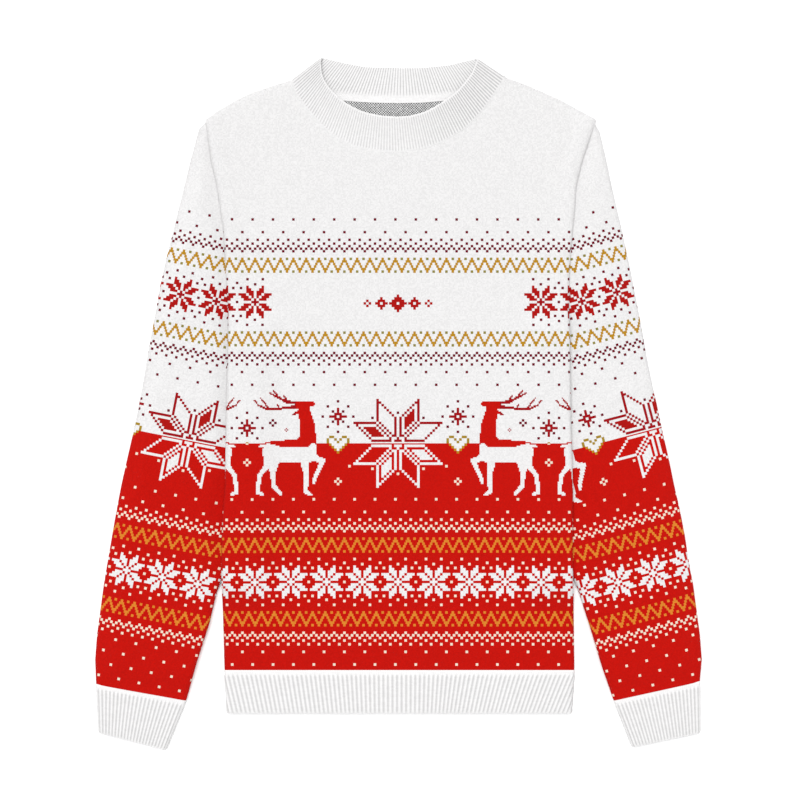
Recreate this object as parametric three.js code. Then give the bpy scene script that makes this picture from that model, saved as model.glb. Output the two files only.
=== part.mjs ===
// A knitted Christmas sweater, laid out flat with its front up and its sleeves tucked under its sides.
// Millimetres. X runs across the chest, Y from the hem to the neck, Z up from the surface it lies on.
import * as THREE from 'three';

// Cloth and seams
const WALL = 3;
const SEAM_GAP = 0.3;
const LAYER_GAP = 0.3;
const TUBE_HEIGHT = 2 * WALL + LAYER_GAP;
const FRONT_FLOOR = WALL + LAYER_GAP;

// Heights along the garment
const HEM_TOP = -280;
const HEM_BOTTOM = -325.5;
const UNDERARM = 77;

// The body's side lies on the sleeve from the underarm down to SLEEVE_LEAVES
const SLEEVE_LEAVES = -184;
const LIFT_RUN_UP = 34;
const LIFT_RUN_DOWN = 40;
const LIFT_FULL_WIDTH = 29;
const LIFT_FADE_WIDTH = 64;
// Above the underarm the front panel rolls this far over the end of the sleeve
const ROLL_OVERHANG = 5;
const ROLL_FLAT_WIDTH = 9;
const ROLL_RISE_WIDTH = 24;
const EDGE_ROUNDING = 4;
const EDGE_SHARE = 0.4;
const BACK_PANEL_INSET = 1;

// Ribbing
const HEM_RIBS = 84;
const CUFF_RIBS = 22;
const NECK_FRONT_RIBS = 76;
const NECK_BACK_RIBS = 54;
const RIB_HEIGHT = 0.7;
const NECK_RIB_HEIGHT = 0.6;
const RIB_RUN_IN = 4;
const BAND_DEPTH = 48;
const NECK_ARCH_SIDE = 0.8;
const NECK_ARCH_MIDDLE = 2.2;
// The upper layer of a sleeve swells over this share of its width, fading in along this share of its length
const SLEEVE_SWELL = 1.2;
const SWELL_SPAN = 0.72;
const SWELL_RUN_IN = 0.2;
const SLEEVE_STATIONS = 16;
// Share of a sleeve's length over which its sections bend to follow the armhole
const ARMHOLE_PULL_REACH = 0.3;
const ARMHOLE_CHORD_ROOM = 1;

// The body's visible side edges, from the hem to the shoulders
const SIDE_EDGES = [
  { y: -325, left: -180, right: 182 },
  { y: -278, left: -183, right: 185 },
  { y: -206, left: -185, right: 184 },
  { y: -172, left: -186, right: 183 },
  { y: -122, left: -185, right: 183 },
  { y: -86, left: -182, right: 183 },
  { y: -17, left: -181, right: 181 },
  { y: 67, left: -179, right: 180 },
  { y: 98, left: -179, right: 179 },
  { y: 145, left: -182, right: 180 },
  { y: 181, left: -184, right: 183 },
  { y: 201, left: -187, right: 185 },
  { y: 229, left: -191, right: 187 },
  { y: 254, left: -197, right: 193 },
  { y: 298, left: -203, right: 208 },
];

const SHOULDER_LEFT_LINE = [
  { x: -203, y: 298 }, { x: -186, y: 310 }, { x: -171, y: 319 },
  { x: -154, y: 327 }, { x: -130, y: 335 }, { x: -113, y: 340 },
];
const SHOULDER_RIGHT_LINE = [
  { x: 113, y: 343 }, { x: 135, y: 335 }, { x: 153, y: 327 },
  { x: 171, y: 319 }, { x: 187, y: 310 }, { x: 208, y: 298 },
];

// Where the neckband meets the two panels
const NECK_SEAM = [
  { x: -113, frontY: 340, backY: 340 },
  { x: -108, frontY: 325, backY: 334 },
  { x: -98, frontY: 311, backY: 328 },
  { x: -87, frontY: 298, backY: 324 },
  { x: -75, frontY: 286, backY: 321 },
  { x: -61, frontY: 276, backY: 319 },
  { x: -45, frontY: 268, backY: 317.5 },
  { x: -25, frontY: 264, backY: 316.5 },
  { x: 0, frontY: 262, backY: 316 },
  { x: 25, frontY: 266, backY: 316.5 },
  { x: 48, frontY: 275, backY: 318.5 },
  { x: 70, frontY: 288, backY: 321.5 },
  { x: 87, frontY: 305, backY: 326 },
  { x: 101, frontY: 325, backY: 334 },
  { x: 113, frontY: 343, backY: 343 },
];
const NECK_SEAM_FRONT = NECK_SEAM.map(({ x, frontY }) => ({ x, y: frontY }));
const NECK_SEAM_BACK = NECK_SEAM.map(({ x, backY }) => ({ x, y: backY }));

// The neckband's free edges
const NECK_EDGE_FRONT = [
  { x: -81, y: 364 }, { x: -80, y: 354 }, { x: -77, y: 345 }, { x: -70, y: 333 }, { x: -61, y: 324 },
  { x: -49, y: 315 }, { x: -35, y: 308 }, { x: -19, y: 303 }, { x: -2, y: 301 }, { x: 16, y: 302 },
  { x: 33, y: 307 }, { x: 46, y: 313 }, { x: 57, y: 320 }, { x: 67, y: 328 }, { x: 75, y: 337 },
  { x: 80, y: 348 }, { x: 83, y: 363 },
];
const NECK_EDGE_BACK = [
  { x: -81, y: 364 }, { x: -69, y: 361 }, { x: -56, y: 358 }, { x: -35, y: 354 }, { x: 2, y: 353 },
  { x: 23, y: 353 }, { x: 54, y: 356 }, { x: 70, y: 360 }, { x: 83, y: 363 },
];

// Sections of the sleeves: the edge away from the body and the edge beside or under it
const SLEEVE_LEFT_SECTIONS = [
  { outerX: -200, outerY: 299, innerX: -174, innerY: 76 },
  { outerX: -210, outerY: 288, innerX: -171.8, innerY: 56 },
  { outerX: -217, outerY: 258, innerX: -168.2, innerY: 34 },
  { outerX: -228, outerY: 208, innerX: -165, innerY: 10 },
  { outerX: -240, outerY: 172, innerX: -162.5, innerY: -18 },
  { outerX: -250, outerY: 124, innerX: -161.3, innerY: -55 },
  { outerX: -263, outerY: 67, innerX: -163.2, innerY: -93 },
  { outerX: -272, outerY: 4, innerX: -169, innerY: -128 },
  { outerX: -285, outerY: -59, innerX: -181, innerY: -173 },
  { outerX: -300, outerY: -122, innerX: -191, innerY: -198 },
  { outerX: -310, outerY: -185, innerX: -199, innerY: -232 },
  { outerX: -317, outerY: -248, innerX: -212, innerY: -272 },
  { outerX: -319, outerY: -294.5, innerX: -223, innerY: -311.5 },
];
const SLEEVE_RIGHT_SECTIONS = [
  { outerX: 203, outerY: 299, innerX: 174.7, innerY: 76 },
  { outerX: 211, outerY: 287, innerX: 170, innerY: 50 },
  { outerX: 218, outerY: 256, innerX: 165.4, innerY: 28 },
  { outerX: 228, outerY: 208, innerX: 163, innerY: 10 },
  { outerX: 239, outerY: 172, innerX: 160.5, innerY: -18 },
  { outerX: 249, outerY: 124, innerX: 159.4, innerY: -55 },
  { outerX: 262, outerY: 67, innerX: 162.2, innerY: -93 },
  { outerX: 271, outerY: 4, innerX: 167, innerY: -128 },
  { outerX: 283, outerY: -59, innerX: 178, innerY: -171 },
  { outerX: 297, outerY: -122, innerX: 188, innerY: -194 },
  { outerX: 310, outerY: -185, innerX: 201, innerY: -234 },
  { outerX: 318, outerY: -248, innerX: 214, innerY: -277 },
  { outerX: 319, outerY: -291.5, innerX: 226, innerY: -311.5 },
];
const CUFF_LEFT_SECTIONS = [
  { outerX: -319, outerY: -295, innerX: -223, innerY: -312 },
  { outerX: -315, outerY: -346, innerX: -245, innerY: -364 },
];
const CUFF_RIGHT_SECTIONS = [
  { outerX: 319, outerY: -292, innerX: 226, innerY: -312 },
  { outerX: 317, outerY: -346, innerX: 246, innerY: -361 },
];

const WHITE_KNIT = new THREE.MeshStandardMaterial({ name: 'white_knit', color: '#f2f0ef', roughness: 0.95 });
const RED_KNIT = new THREE.MeshStandardMaterial({ name: 'red_knit', color: '#cb1d0f', roughness: 0.95 });
const WHITE_RIB = new THREE.MeshStandardMaterial({ name: 'white_rib', color: '#ecebea', roughness: 0.95 });

const mix = THREE.MathUtils.lerp;
const ramp = THREE.MathUtils.smoothstep;

// Reads one column of a table at a key between its rows, on a smooth line through them.
function tableValue(rows, keyColumn, valueColumn, key) {
  const last = rows.length - 1;
  let row = 0;
  while (row < last - 1 && key > rows[row + 1][keyColumn]) row += 1;
  const span = rows[row + 1][keyColumn] - rows[row][keyColumn];
  const slopeAt = (index) => {
    const before = rows[Math.max(index - 1, 0)];
    const after = rows[Math.min(index + 1, last)];
    return (after[valueColumn] - before[valueColumn]) / (after[keyColumn] - before[keyColumn]);
  };
  const t = THREE.MathUtils.clamp((key - rows[row][keyColumn]) / span, 0, 1);
  const start = rows[row][valueColumn];
  const end = rows[row + 1][valueColumn];
  const rise = end - start;
  const startSlope = slopeAt(row) * span;
  const endSlope = slopeAt(row + 1) * span;
  return start + startSlope * t + (3 * rise - 2 * startSlope - endSlope) * t ** 2
    + (startSlope + endSlope - 2 * rise) * t ** 3;
}

const leftEdge = (y) => tableValue(SIDE_EDGES, 'y', 'left', y);
const rightEdge = (y) => tableValue(SIDE_EDGES, 'y', 'right', y);
const planPoints = (points) => points.map(({ x, y }) => new THREE.Vector2(x, y));
const splineThrough = (points) => new THREE.SplineCurve(planPoints(points));
// The panels meet the neckband along straight chords, so its seam runs along the same chords.
const chordsThrough = (points) => new THREE.Path(planPoints(points));

// Collects points and triangles of one closed skin.
class Skin {
  constructor() {
    this.positions = [];
    this.indices = [];
  }

  addLoop(points) {
    return points.map((point) => {
      this.positions.push(point.x, point.y, point.z);
      return this.positions.length / 3 - 1;
    });
  }

  addQuad(a, b, c, d) {
    this.indices.push(a, b, c, a, c, d);
  }

  // Joins two loops with as many points each. Both ways of facing split each quad along the same diagonal.
  joinLoops(loop, next, { closed, inward = false }) {
    const count = closed ? loop.length : loop.length - 1;
    for (let i = 0; i < count; i += 1) {
      const j = (i + 1) % loop.length;
      if (inward) {
        this.addQuad(loop[i], next[i], next[j], loop[j]);
      } else {
        this.addQuad(loop[i], loop[j], next[j], next[i]);
      }
    }
  }

  // Joins two closed loops with different counts of points, by their shares of the way round.
  joinUneven(loop, shares, next, nextShares) {
    let i = 0;
    let j = 0;
    while (i < loop.length || j < next.length) {
      const shareAfter = i + 1 < loop.length ? shares[i + 1] : 1;
      const nextShareAfter = j + 1 < next.length ? nextShares[j + 1] : 1;
      const a = loop[i % loop.length];
      const b = next[j % next.length];
      if (j >= next.length || (i < loop.length && shareAfter <= nextShareAfter)) {
        this.indices.push(a, loop[(i + 1) % loop.length], b);
        i += 1;
      } else {
        this.indices.push(a, next[(j + 1) % next.length], b);
        j += 1;
      }
    }
  }

  // Returns the geometry with its faces pointing out.
  geometry() {
    const corner = (index) => new THREE.Vector3().fromArray(this.positions, index * 3);
    let volume = 0;
    for (let i = 0; i < this.indices.length; i += 3) {
      const [a, b, c] = this.indices.slice(i, i + 3).map(corner);
      volume += a.dot(b.cross(c));
    }
    if (volume < 0) this.indices.reverse();
    const geometry = new THREE.BufferGeometry();
    geometry.setAttribute('position', new THREE.Float32BufferAttribute(this.positions, 3));
    geometry.setIndex(this.indices);
    geometry.computeVertexNormals();
    return geometry;
  }
}

// A slab between two grids of points with as many rows and columns each.
function slabGeometry(upperRows, lowerRows) {
  const skin = new Skin();
  const upper = upperRows.map((row) => skin.addLoop(row));
  const lower = lowerRows.map((row) => skin.addLoop(row));
  for (let r = 0; r + 1 < upper.length; r += 1) {
    skin.joinLoops(upper[r], upper[r + 1], { closed: false });
    skin.joinLoops(lower[r], lower[r + 1], { closed: false, inward: true });
  }
  const rimOf = (rows) => [
    ...rows[0],
    ...rows.slice(1, -1).map((row) => row[row.length - 1]),
    ...rows[rows.length - 1].slice().reverse(),
    ...rows.slice(1, -1).reverse().map((row) => row[0]),
  ];
  skin.joinLoops(rimOf(lower), rimOf(upper), { closed: true });
  return skin.geometry();
}

// A tube open at both ends: each station holds an outer and an inner loop with shares of the way round.
function tubeGeometry(stations) {
  const skin = new Skin();
  const loops = stations.map(({ outer, inner }) => ({
    outer: skin.addLoop(outer.map(({ point }) => point)),
    inner: skin.addLoop(inner.map(({ point }) => point)),
  }));
  for (let s = 0; s + 1 < loops.length; s += 1) {
    skin.joinLoops(loops[s].outer, loops[s + 1].outer, { closed: true });
    skin.joinLoops(loops[s].inner, loops[s + 1].inner, { closed: true, inward: true });
  }
  const sharesOf = (loop) => loop.map(({ share }) => share);
  const first = stations[0];
  const last = stations[stations.length - 1];
  skin.joinUneven(loops[0].inner, sharesOf(first.inner), loops[0].outer, sharesOf(first.outer));
  const end = loops[loops.length - 1];
  skin.joinUneven(end.outer, sharesOf(last.outer), end.inner, sharesOf(last.inner));
  return skin.geometry();
}

// How far the sleeve below lifts the body at a height along it: 1 where the sleeve lies under the side.
function liftAlong(y) {
  const fromBelow = ramp(y, SLEEVE_LEAVES - LIFT_RUN_DOWN, SLEEVE_LEAVES);
  return fromBelow * (1 - ramp(y, UNDERARM, UNDERARM + LIFT_RUN_UP));
}

const fromSide = (x, y) => Math.min(x - leftEdge(y), rightEdge(y) - x);

// Height of the body's underside above the surface.
function bodyBase(x, y) {
  const across = 1 - ramp(fromSide(x, y), LIFT_FULL_WIDTH, LIFT_FADE_WIDTH);
  return (TUBE_HEIGHT + LAYER_GAP) * across * liftAlong(y);
}

// Height of the front panel's underside, which rolls over the end of the sleeve above the underarm.
function frontBase(x, y) {
  const nearEdge = 1 - ramp(fromSide(x, y), ROLL_FLAT_WIDTH, ROLL_RISE_WIDTH);
  const aboveUnderarm = ramp(y, UNDERARM - ROLL_RISE_WIDTH, UNDERARM) * (1 - liftAlong(y));
  return FRONT_FLOOR + bodyBase(x, y) + FRONT_FLOOR * nearEdge * aboveUnderarm;
}

// The wall thins to a rounded edge towards its folds.
function wallNearFold(distance) {
  const share = THREE.MathUtils.clamp(distance / EDGE_ROUNDING, 0, 1);
  return WALL * mix(EDGE_SHARE, 1, Math.sqrt(share * (2 - share)));
}

// The back panel stops short of the sleeve's end above the underarm, and reaches the side fold below it.
function backInset(y) {
  const besideSleeve = ROLL_OVERHANG + SEAM_GAP + ARMHOLE_CHORD_ROOM;
  return mix(BACK_PANEL_INSET, besideSleeve, ramp(y, UNDERARM - ROLL_RISE_WIDTH, UNDERARM - 2));
}

// Shares of a shoulder line with a column of points, closer near the side fold
const SHOULDER_STEPS = [0, 0.03, 0.1, 0.3, 0.65];
// Level rows of a panel up to the underarm, then shares of the way from there to its upper edge
const LOWER_ROWS = [
  HEM_TOP + SEAM_GAP, -252, -224, -210, -198, SLEEVE_LEAVES, -150, -105, -60, -15, 25, 57, UNDERARM,
];
const UPPER_SHARES = [0.07, 0.15, 0.28, 0.4, 0.52, 0.64, 0.76, 0.88, 0.96, 0.985, 1];
const NECK_CENTRE = new THREE.Vector2(0, 345);
// Shares of the inset taken by a panel's outermost columns of points
const INSET_SHARES = [1, 1, 0.5];

// Plan of a body panel: rows of points from the hem up to the shoulders and the neck seam.
// Both panels share their columns, but for the outermost few, which the inset pulls in.
function panelPlan(neckSeam, inset) {
  const leftLine = splineThrough(SHOULDER_LEFT_LINE);
  const rightLine = splineThrough(SHOULDER_RIGHT_LINE);
  const neck = planPoints(neckSeam).map((point) => {
    const away = point.clone().sub(NECK_CENTRE).normalize();
    return point.addScaledVector(away, SEAM_GAP);
  });
  const tops = [
    ...SHOULDER_STEPS.map((step) => leftLine.getPoint(step)),
    ...neck,
    ...SHOULDER_STEPS.map((step) => rightLine.getPoint(1 - step)).reverse(),
  ];
  const last = tops.length - 1;
  const shares = tops.map((top) => (top.x - tops[0].x) / (tops[last].x - tops[0].x));
  const level = (y) => shares.map((u) => new THREE.Vector2(mix(leftEdge(y), rightEdge(y), u), y));
  const lower = LOWER_ROWS.map(level);
  const base = lower[lower.length - 1];
  const upper = UPPER_SHARES.map((g) => {
    const leftY = mix(UNDERARM, tops[0].y, g);
    const rightY = mix(UNDERARM, tops[last].y, g);
    const leftPull = leftEdge(leftY) - mix(base[0].x, tops[0].x, g);
    const rightPull = rightEdge(rightY) - mix(base[last].x, tops[last].x, g);
    return tops.map((top, i) => {
      const point = base[i].clone().lerp(top, g);
      point.x += mix(leftPull, rightPull, shares[i]);
      return point;
    });
  });
  const rows = [...lower, ...upper];
  rows.forEach((row) => {
    INSET_SHARES.forEach((share, column) => {
      row[column].x += share * inset(row[column].y);
      row[last - column].x -= share * inset(row[last - column].y);
    });
  });
  return rows;
}

// A body panel as a wall over its plan. The wall is rounded at the side folds and along the shoulders.
function panelGeometry(neckSeam, inset, baseHeight) {
  const plan = panelPlan(neckSeam, inset);
  const top = plan[plan.length - 1];
  const lastColumn = top.length - 1;
  const shoulderColumn = (column) => Math.min(column, lastColumn - column) < SHOULDER_STEPS.length;
  const lower = [];
  const upper = [];
  plan.forEach((row) => {
    const lowerRow = row.map(({ x, y }) => new THREE.Vector3(x, y, baseHeight(x, y)));
    const upperRow = lowerRow.map((point, column) => {
      const side = fromSide(point.x, point.y) - inset(point.y);
      const shoulder = shoulderColumn(column) ? top[column].y - point.y : EDGE_ROUNDING;
      const rise = wallNearFold(Math.min(side, shoulder));
      return new THREE.Vector3(point.x, point.y, point.z + rise);
    });
    lower.push(lowerRow);
    upper.push(upperRow);
  });
  return slabGeometry(upper, lower);
}

// Sections between the rows of a sleeve or cuff table, evenly spaced along it.
function sectionAt(rows, share) {
  const columns = ['outerX', 'outerY', 'innerX', 'innerY'];
  const numbered = rows.map((row, index) => ({ ...row, index }));
  const key = share * (rows.length - 1);
  return Object.fromEntries(columns.map((column) => [column, tableValue(numbered, 'index', column, key)]));
}

// A sleeve's sections lie almost along its edge at the underarm, so the inside of its first ones stops this
// far from it, fading out between these shares of its length
const WEDGE_INSET = 45;
const WEDGE_FADE = [0.07, 0.27];
const INSET_STEP = 0.5;
const MOST_INSET = 90;

// How far along its line a section's inside must stop, to stay a wall's thickness from that edge of the tube.
function wallInset(rows, share, end) {
  const cornerOf = (section, name) => new THREE.Vector3(section[`${name}X`], section[`${name}Y`], 0);
  const section = sectionAt(rows, share);
  const corner = cornerOf(section, end);
  const inward = cornerOf(section, end === 'outer' ? 'inner' : 'outer').sub(corner).normalize();
  const edge = rows.slice(1).map((row, i) => new THREE.Line3(cornerOf(rows[i], end), cornerOf(row, end)));
  const nearest = new THREE.Vector3();
  const fromEdge = (point) => Math.min(
    ...edge.map((line) => line.closestPointToPoint(point, true, nearest).distanceTo(point)),
  );
  let inset = WALL;
  while (inset < MOST_INSET && fromEdge(corner.clone().addScaledVector(inward, inset)) < WALL - SEAM_GAP) {
    inset += INSET_STEP;
  }
  return inset;
}

// One loop of a flattened section. The insets are distances from its two folds, in millimetres.
function flattenedLoop({ section, pull, fractions, startInset, endInset, floor, ceiling }) {
  const outer = new THREE.Vector2(section.outerX, section.outerY);
  const inner = new THREE.Vector2(section.innerX, section.innerY);
  const along = inner.clone().sub(outer);
  const width = along.length();
  along.normalize();
  return fractions.map(({ t, height, fold }) => {
    const span = width - startInset - endInset - 2 * Math.abs(fold);
    const reach = t === 1 ? width - endInset + fold : startInset + fold + t * span;
    const share = reach / width;
    const point = outer.clone().addScaledVector(along, reach);
    point.x += pull(point.y);
    return new THREE.Vector3(point.x, point.y, mix(floor, ceiling(share), height));
  });
}

// The point between a fold's tip and its flat face, as shares of the fold's height and width
const ROUNDING_LOW = 0.13;
const ROUNDING_NEAR = 0.3;

// Points of a loop round a flattened tube. The fold column is a distance from the fold, in millimetres.
function loopFractions(upperCount, lowerCount, rounding) {
  const near = rounding * ROUNDING_NEAR;
  const upper = Array.from({ length: upperCount }, (_, i) => (i + 1) / (upperCount + 1));
  const lower = Array.from({ length: lowerCount }, (_, i) => (i + 1) / (lowerCount + 1)).reverse();
  return [
    { t: 0, height: 0.5, fold: 0 },
    { t: 0, height: 1 - ROUNDING_LOW, fold: near },
    { t: 0, height: 1, fold: rounding },
    ...upper.map((t) => ({ t, height: 1, fold: rounding })),
    { t: 1, height: 1, fold: -rounding },
    { t: 1, height: 1 - ROUNDING_LOW, fold: -near },
    { t: 1, height: 0.5, fold: 0 },
    { t: 1, height: ROUNDING_LOW, fold: -near },
    { t: 1, height: 0, fold: -rounding },
    ...lower.map((t) => ({ t, height: 0, fold: rounding })),
    { t: 0, height: 0, fold: rounding },
    { t: 0, height: ROUNDING_LOW, fold: near },
  ];
}

// Gives each point of a loop its share of the way round, counted by halves so that loops match.
function withShares(points, fractions) {
  const cornerAt = fractions.findIndex(({ t, height }) => t === 1 && height === 0.5);
  return points.map((point, index) => {
    const share = index <= cornerAt
      ? 0.5 * (index / cornerAt)
      : 0.5 + 0.5 * ((index - cornerAt) / (points.length - cornerAt));
    return { point, share };
  });
}

const TUBE_ROUNDING = TUBE_HEIGHT / 2;
const ribbedShares = [0, RIB_RUN_IN / BAND_DEPTH, 0.5, 1];
const noPull = () => () => 0;

// A sleeve, cuff or hem as a flattened tube. Ribs are raised in its upper, outer points only.
function flattenedTube({
  rows, shares, upperCount, lowerCount, ribs = 0, swell = 0, wedge = 0, pullAt = noPull,
}) {
  const outerFractions = loopFractions(ribs ? ribs * 2 - 1 : upperCount, lowerCount, TUBE_ROUNDING);
  const innerFractions = loopFractions(upperCount, lowerCount, WALL);
  const isRidge = (index) => ribs > 0 && index > 2 && index % 2 === 1 && outerFractions[index].height === 1;
  const stations = shares.map((share) => {
    const section = sectionAt(rows, share);
    const pull = pullAt(share);
    const runIn = ramp(share, 0, SWELL_RUN_IN);
    const puff = (across) => swell * runIn * Math.sin(Math.PI * Math.min(1, across / SWELL_SPAN));
    const outer = flattenedLoop({
      section,
      pull,
      fractions: outerFractions,
      startInset: 0,
      endInset: 0,
      floor: 0,
      ceiling: (across) => TUBE_HEIGHT + puff(across),
    });
    outer.forEach((point, index) => {
      if (isRidge(index) && share > 0) point.z += RIB_HEIGHT;
    });
    const inner = flattenedLoop({
      section,
      pull,
      fractions: innerFractions,
      startInset: wallInset(rows, share, 'outer'),
      endInset: Math.max(wallInset(rows, share, 'inner'), wedge * (1 - ramp(share, ...WEDGE_FADE))),
      floor: WALL,
      ceiling: (across) => FRONT_FLOOR + puff(across),
    });
    return { outer: withShares(outer, outerFractions), inner: withShares(inner, innerFractions) };
  });
  return tubeGeometry(stations);
}

// Bends the first sections of a sleeve sideways, so that its end follows the armhole under the body's roll.
function armholePull(rows, edgeAt, overhang) {
  const [first] = rows;
  return (along) => (pointY) => {
    const y = Math.max(pointY, first.innerY);
    const across = (first.outerY - y) / (first.outerY - first.innerY);
    const straight = mix(first.outerX, first.innerX, across);
    return (edgeAt(y) + overhang - straight) * (1 - ramp(along, 0, ARMHOLE_PULL_REACH));
  };
}

// Shares of a neckband half's length kept free beside its side folds, on the outer and the inner face
const OUTER_MARGIN = 0.01;
const TIP_MARGIN = 0.012;
const INNER_MARGIN = 0.024;
const NECK_PLAIN_STEPS = 22;
const NECK_STATION_SHARES = [0, 0.08, 0.55, 1];
// The ribs inside the back half fade in between these shares of its length from either side fold
const BACK_RIB_RUN_IN = [0.05, 0.2];

// The neckband: a ribbed ring whose front half arches a little and whose back half lies on the surface.
function neckbandGeometry() {
  const curves = {
    seamFront: chordsThrough(NECK_SEAM_FRONT),
    edgeFront: splineThrough(NECK_EDGE_FRONT),
    seamBack: chordsThrough(NECK_SEAM_BACK),
    edgeBack: splineThrough(NECK_EDGE_BACK),
  };
  const planAt = (half, t, s) => {
    const seam = curves[`seam${half}`].getPointAt(t);
    return seam.lerp(curves[`edge${half}`].getPointAt(t), s);
  };
  const steps = (count, margin) => Array.from(
    { length: count + 1 },
    (_, i) => margin + (1 - 2 * margin) * i / count,
  );
  const frontRibSteps = steps(NECK_FRONT_RIBS * 2, OUTER_MARGIN);
  const backRibSteps = steps(NECK_BACK_RIBS * 2, INNER_MARGIN);
  const stations = NECK_STATION_SHARES.map((s) => {
    const rise = (t) => s * (NECK_ARCH_SIDE + NECK_ARCH_MIDDLE * Math.sin(Math.PI * t));
    const ribHeight = s > 0 ? NECK_RIB_HEIGHT : 0;
    const at = (half, t, z, share) => {
      const plan = planAt(half, t, s);
      return { point: new THREE.Vector3(plan.x, plan.y, z), share };
    };
    const foldHeight = (TUBE_HEIGHT + rise(0)) / 2;
    const outer = [
      at('Front', 0, foldHeight, 0),
      ...frontRibSteps.map((t, i) => at('Front', t, TUBE_HEIGHT + rise(t) + (i % 2) * ribHeight, t / 2)),
      at('Front', 1, foldHeight, 0.5),
      ...steps(NECK_PLAIN_STEPS, OUTER_MARGIN).map((t) => at('Back', 1 - t, 0, 0.5 + t / 2)),
    ];
    const middle = (t) => ramp(Math.min(t, 1 - t), ...BACK_RIB_RUN_IN);
    const backRib = (t, i) => (i % 2) * ribHeight * middle(t);
    const inner = [
      at('Back', TIP_MARGIN, foldHeight, 0),
      ...steps(NECK_PLAIN_STEPS, INNER_MARGIN).map((t) => at('Front', t, FRONT_FLOOR + rise(t), t / 2)),
      at('Back', 1 - TIP_MARGIN, foldHeight, 0.5),
      ...backRibSteps.map((t, i) => at('Back', 1 - t, WALL + backRib(t, i), 0.5 + t / 2)),
    ];
    return { outer, inner };
  });
  return tubeGeometry(stations);
}

function makeMesh(name, geometry, material) {
  const mesh = new THREE.Mesh(geometry, material);
  mesh.name = name;
  return mesh;
}

const HEM_SECTIONS = [
  { outerX: leftEdge(HEM_TOP), outerY: HEM_TOP, innerX: rightEdge(HEM_TOP), innerY: HEM_TOP },
  { outerX: leftEdge(HEM_BOTTOM), outerY: HEM_BOTTOM, innerX: rightEdge(HEM_BOTTOM), innerY: HEM_BOTTOM },
];

const sleeveShares = Array.from({ length: SLEEVE_STATIONS }, (_, i) => i / (SLEEVE_STATIONS - 1));
const sleeveShape = {
  shares: sleeveShares, upperCount: 6, lowerCount: 4, swell: SLEEVE_SWELL, wedge: WEDGE_INSET,
};
const cuffShape = { shares: ribbedShares, upperCount: 5, lowerCount: 3, ribs: CUFF_RIBS };
const hemShape = { shares: ribbedShares, upperCount: 24, lowerCount: 7, ribs: HEM_RIBS };
const leftArmhole = armholePull(SLEEVE_LEFT_SECTIONS, leftEdge, ROLL_OVERHANG);
const rightArmhole = armholePull(SLEEVE_RIGHT_SECTIONS, rightEdge, -ROLL_OVERHANG);

const sleeveLeft = { rows: SLEEVE_LEFT_SECTIONS, pullAt: leftArmhole, ...sleeveShape };
const sleeveRight = { rows: SLEEVE_RIGHT_SECTIONS, pullAt: rightArmhole, ...sleeveShape };

const sweater = new THREE.Group();
sweater.add(
  makeMesh('front_panel', panelGeometry(NECK_SEAM_FRONT, () => 0, frontBase), RED_KNIT),
  makeMesh('back_panel', panelGeometry(NECK_SEAM_BACK, backInset, bodyBase), WHITE_KNIT),
  makeMesh('sleeve_left', flattenedTube(sleeveLeft), WHITE_KNIT),
  makeMesh('sleeve_right', flattenedTube(sleeveRight), WHITE_KNIT),
  makeMesh('cuff_left', flattenedTube({ rows: CUFF_LEFT_SECTIONS, ...cuffShape }), WHITE_RIB),
  makeMesh('cuff_right', flattenedTube({ rows: CUFF_RIGHT_SECTIONS, ...cuffShape }), WHITE_RIB),
  makeMesh('hem_band', flattenedTube({ rows: HEM_SECTIONS, ...hemShape }), WHITE_RIB),
  makeMesh('neckband', neckbandGeometry(), WHITE_RIB),
);

export default sweater;
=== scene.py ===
"""A knitted Christmas sweater laid out flat with its front up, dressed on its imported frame."""
import logging
import math
from bisect import bisect_right
from dataclasses import dataclass, field
from enum import Enum
from typing import Callable, Iterable, Sequence

import bmesh
import bpy
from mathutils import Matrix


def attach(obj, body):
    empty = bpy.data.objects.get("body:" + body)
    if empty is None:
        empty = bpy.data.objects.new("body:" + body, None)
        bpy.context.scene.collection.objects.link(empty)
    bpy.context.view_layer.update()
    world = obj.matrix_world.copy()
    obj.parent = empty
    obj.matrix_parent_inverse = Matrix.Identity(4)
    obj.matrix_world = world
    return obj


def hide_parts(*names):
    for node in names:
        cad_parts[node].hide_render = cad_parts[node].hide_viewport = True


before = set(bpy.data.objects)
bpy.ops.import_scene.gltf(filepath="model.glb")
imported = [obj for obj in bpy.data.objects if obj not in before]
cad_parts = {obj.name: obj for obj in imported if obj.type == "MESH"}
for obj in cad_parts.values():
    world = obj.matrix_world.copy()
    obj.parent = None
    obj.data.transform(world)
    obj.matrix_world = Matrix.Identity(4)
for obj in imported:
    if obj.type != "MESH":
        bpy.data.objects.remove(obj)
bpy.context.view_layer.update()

log = logging.getLogger("sweater")

Table = Sequence[tuple[float, float]]
Point = tuple[float, float, float]
Cell = tuple[int, int]

# Sizes are in millimetres, in the part's own frame
MM = 0.001
# One square of the pattern, which is two stitches wide and two rows high
CELL_WIDTH = 2.678
CELL_HEIGHT = 2.671

# The body's side edges: (height along the body, place across it)
LEFT_EDGE: Table = (
    (-325, -180), (-278, -183), (-206, -185), (-172, -186), (-122, -185), (-86, -182), (-17, -181),
    (67, -179), (98, -179), (145, -182), (181, -184), (201, -187), (229, -191), (254, -197), (298, -203),
)
RIGHT_EDGE: Table = (
    (-325, 182), (-278, 185), (-206, 184), (-172, 183), (-122, 183), (-86, 183), (-17, 181),
    (67, 180), (98, 179), (145, 180), (181, 183), (201, 185), (229, 187), (254, 193), (298, 208),
)
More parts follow.
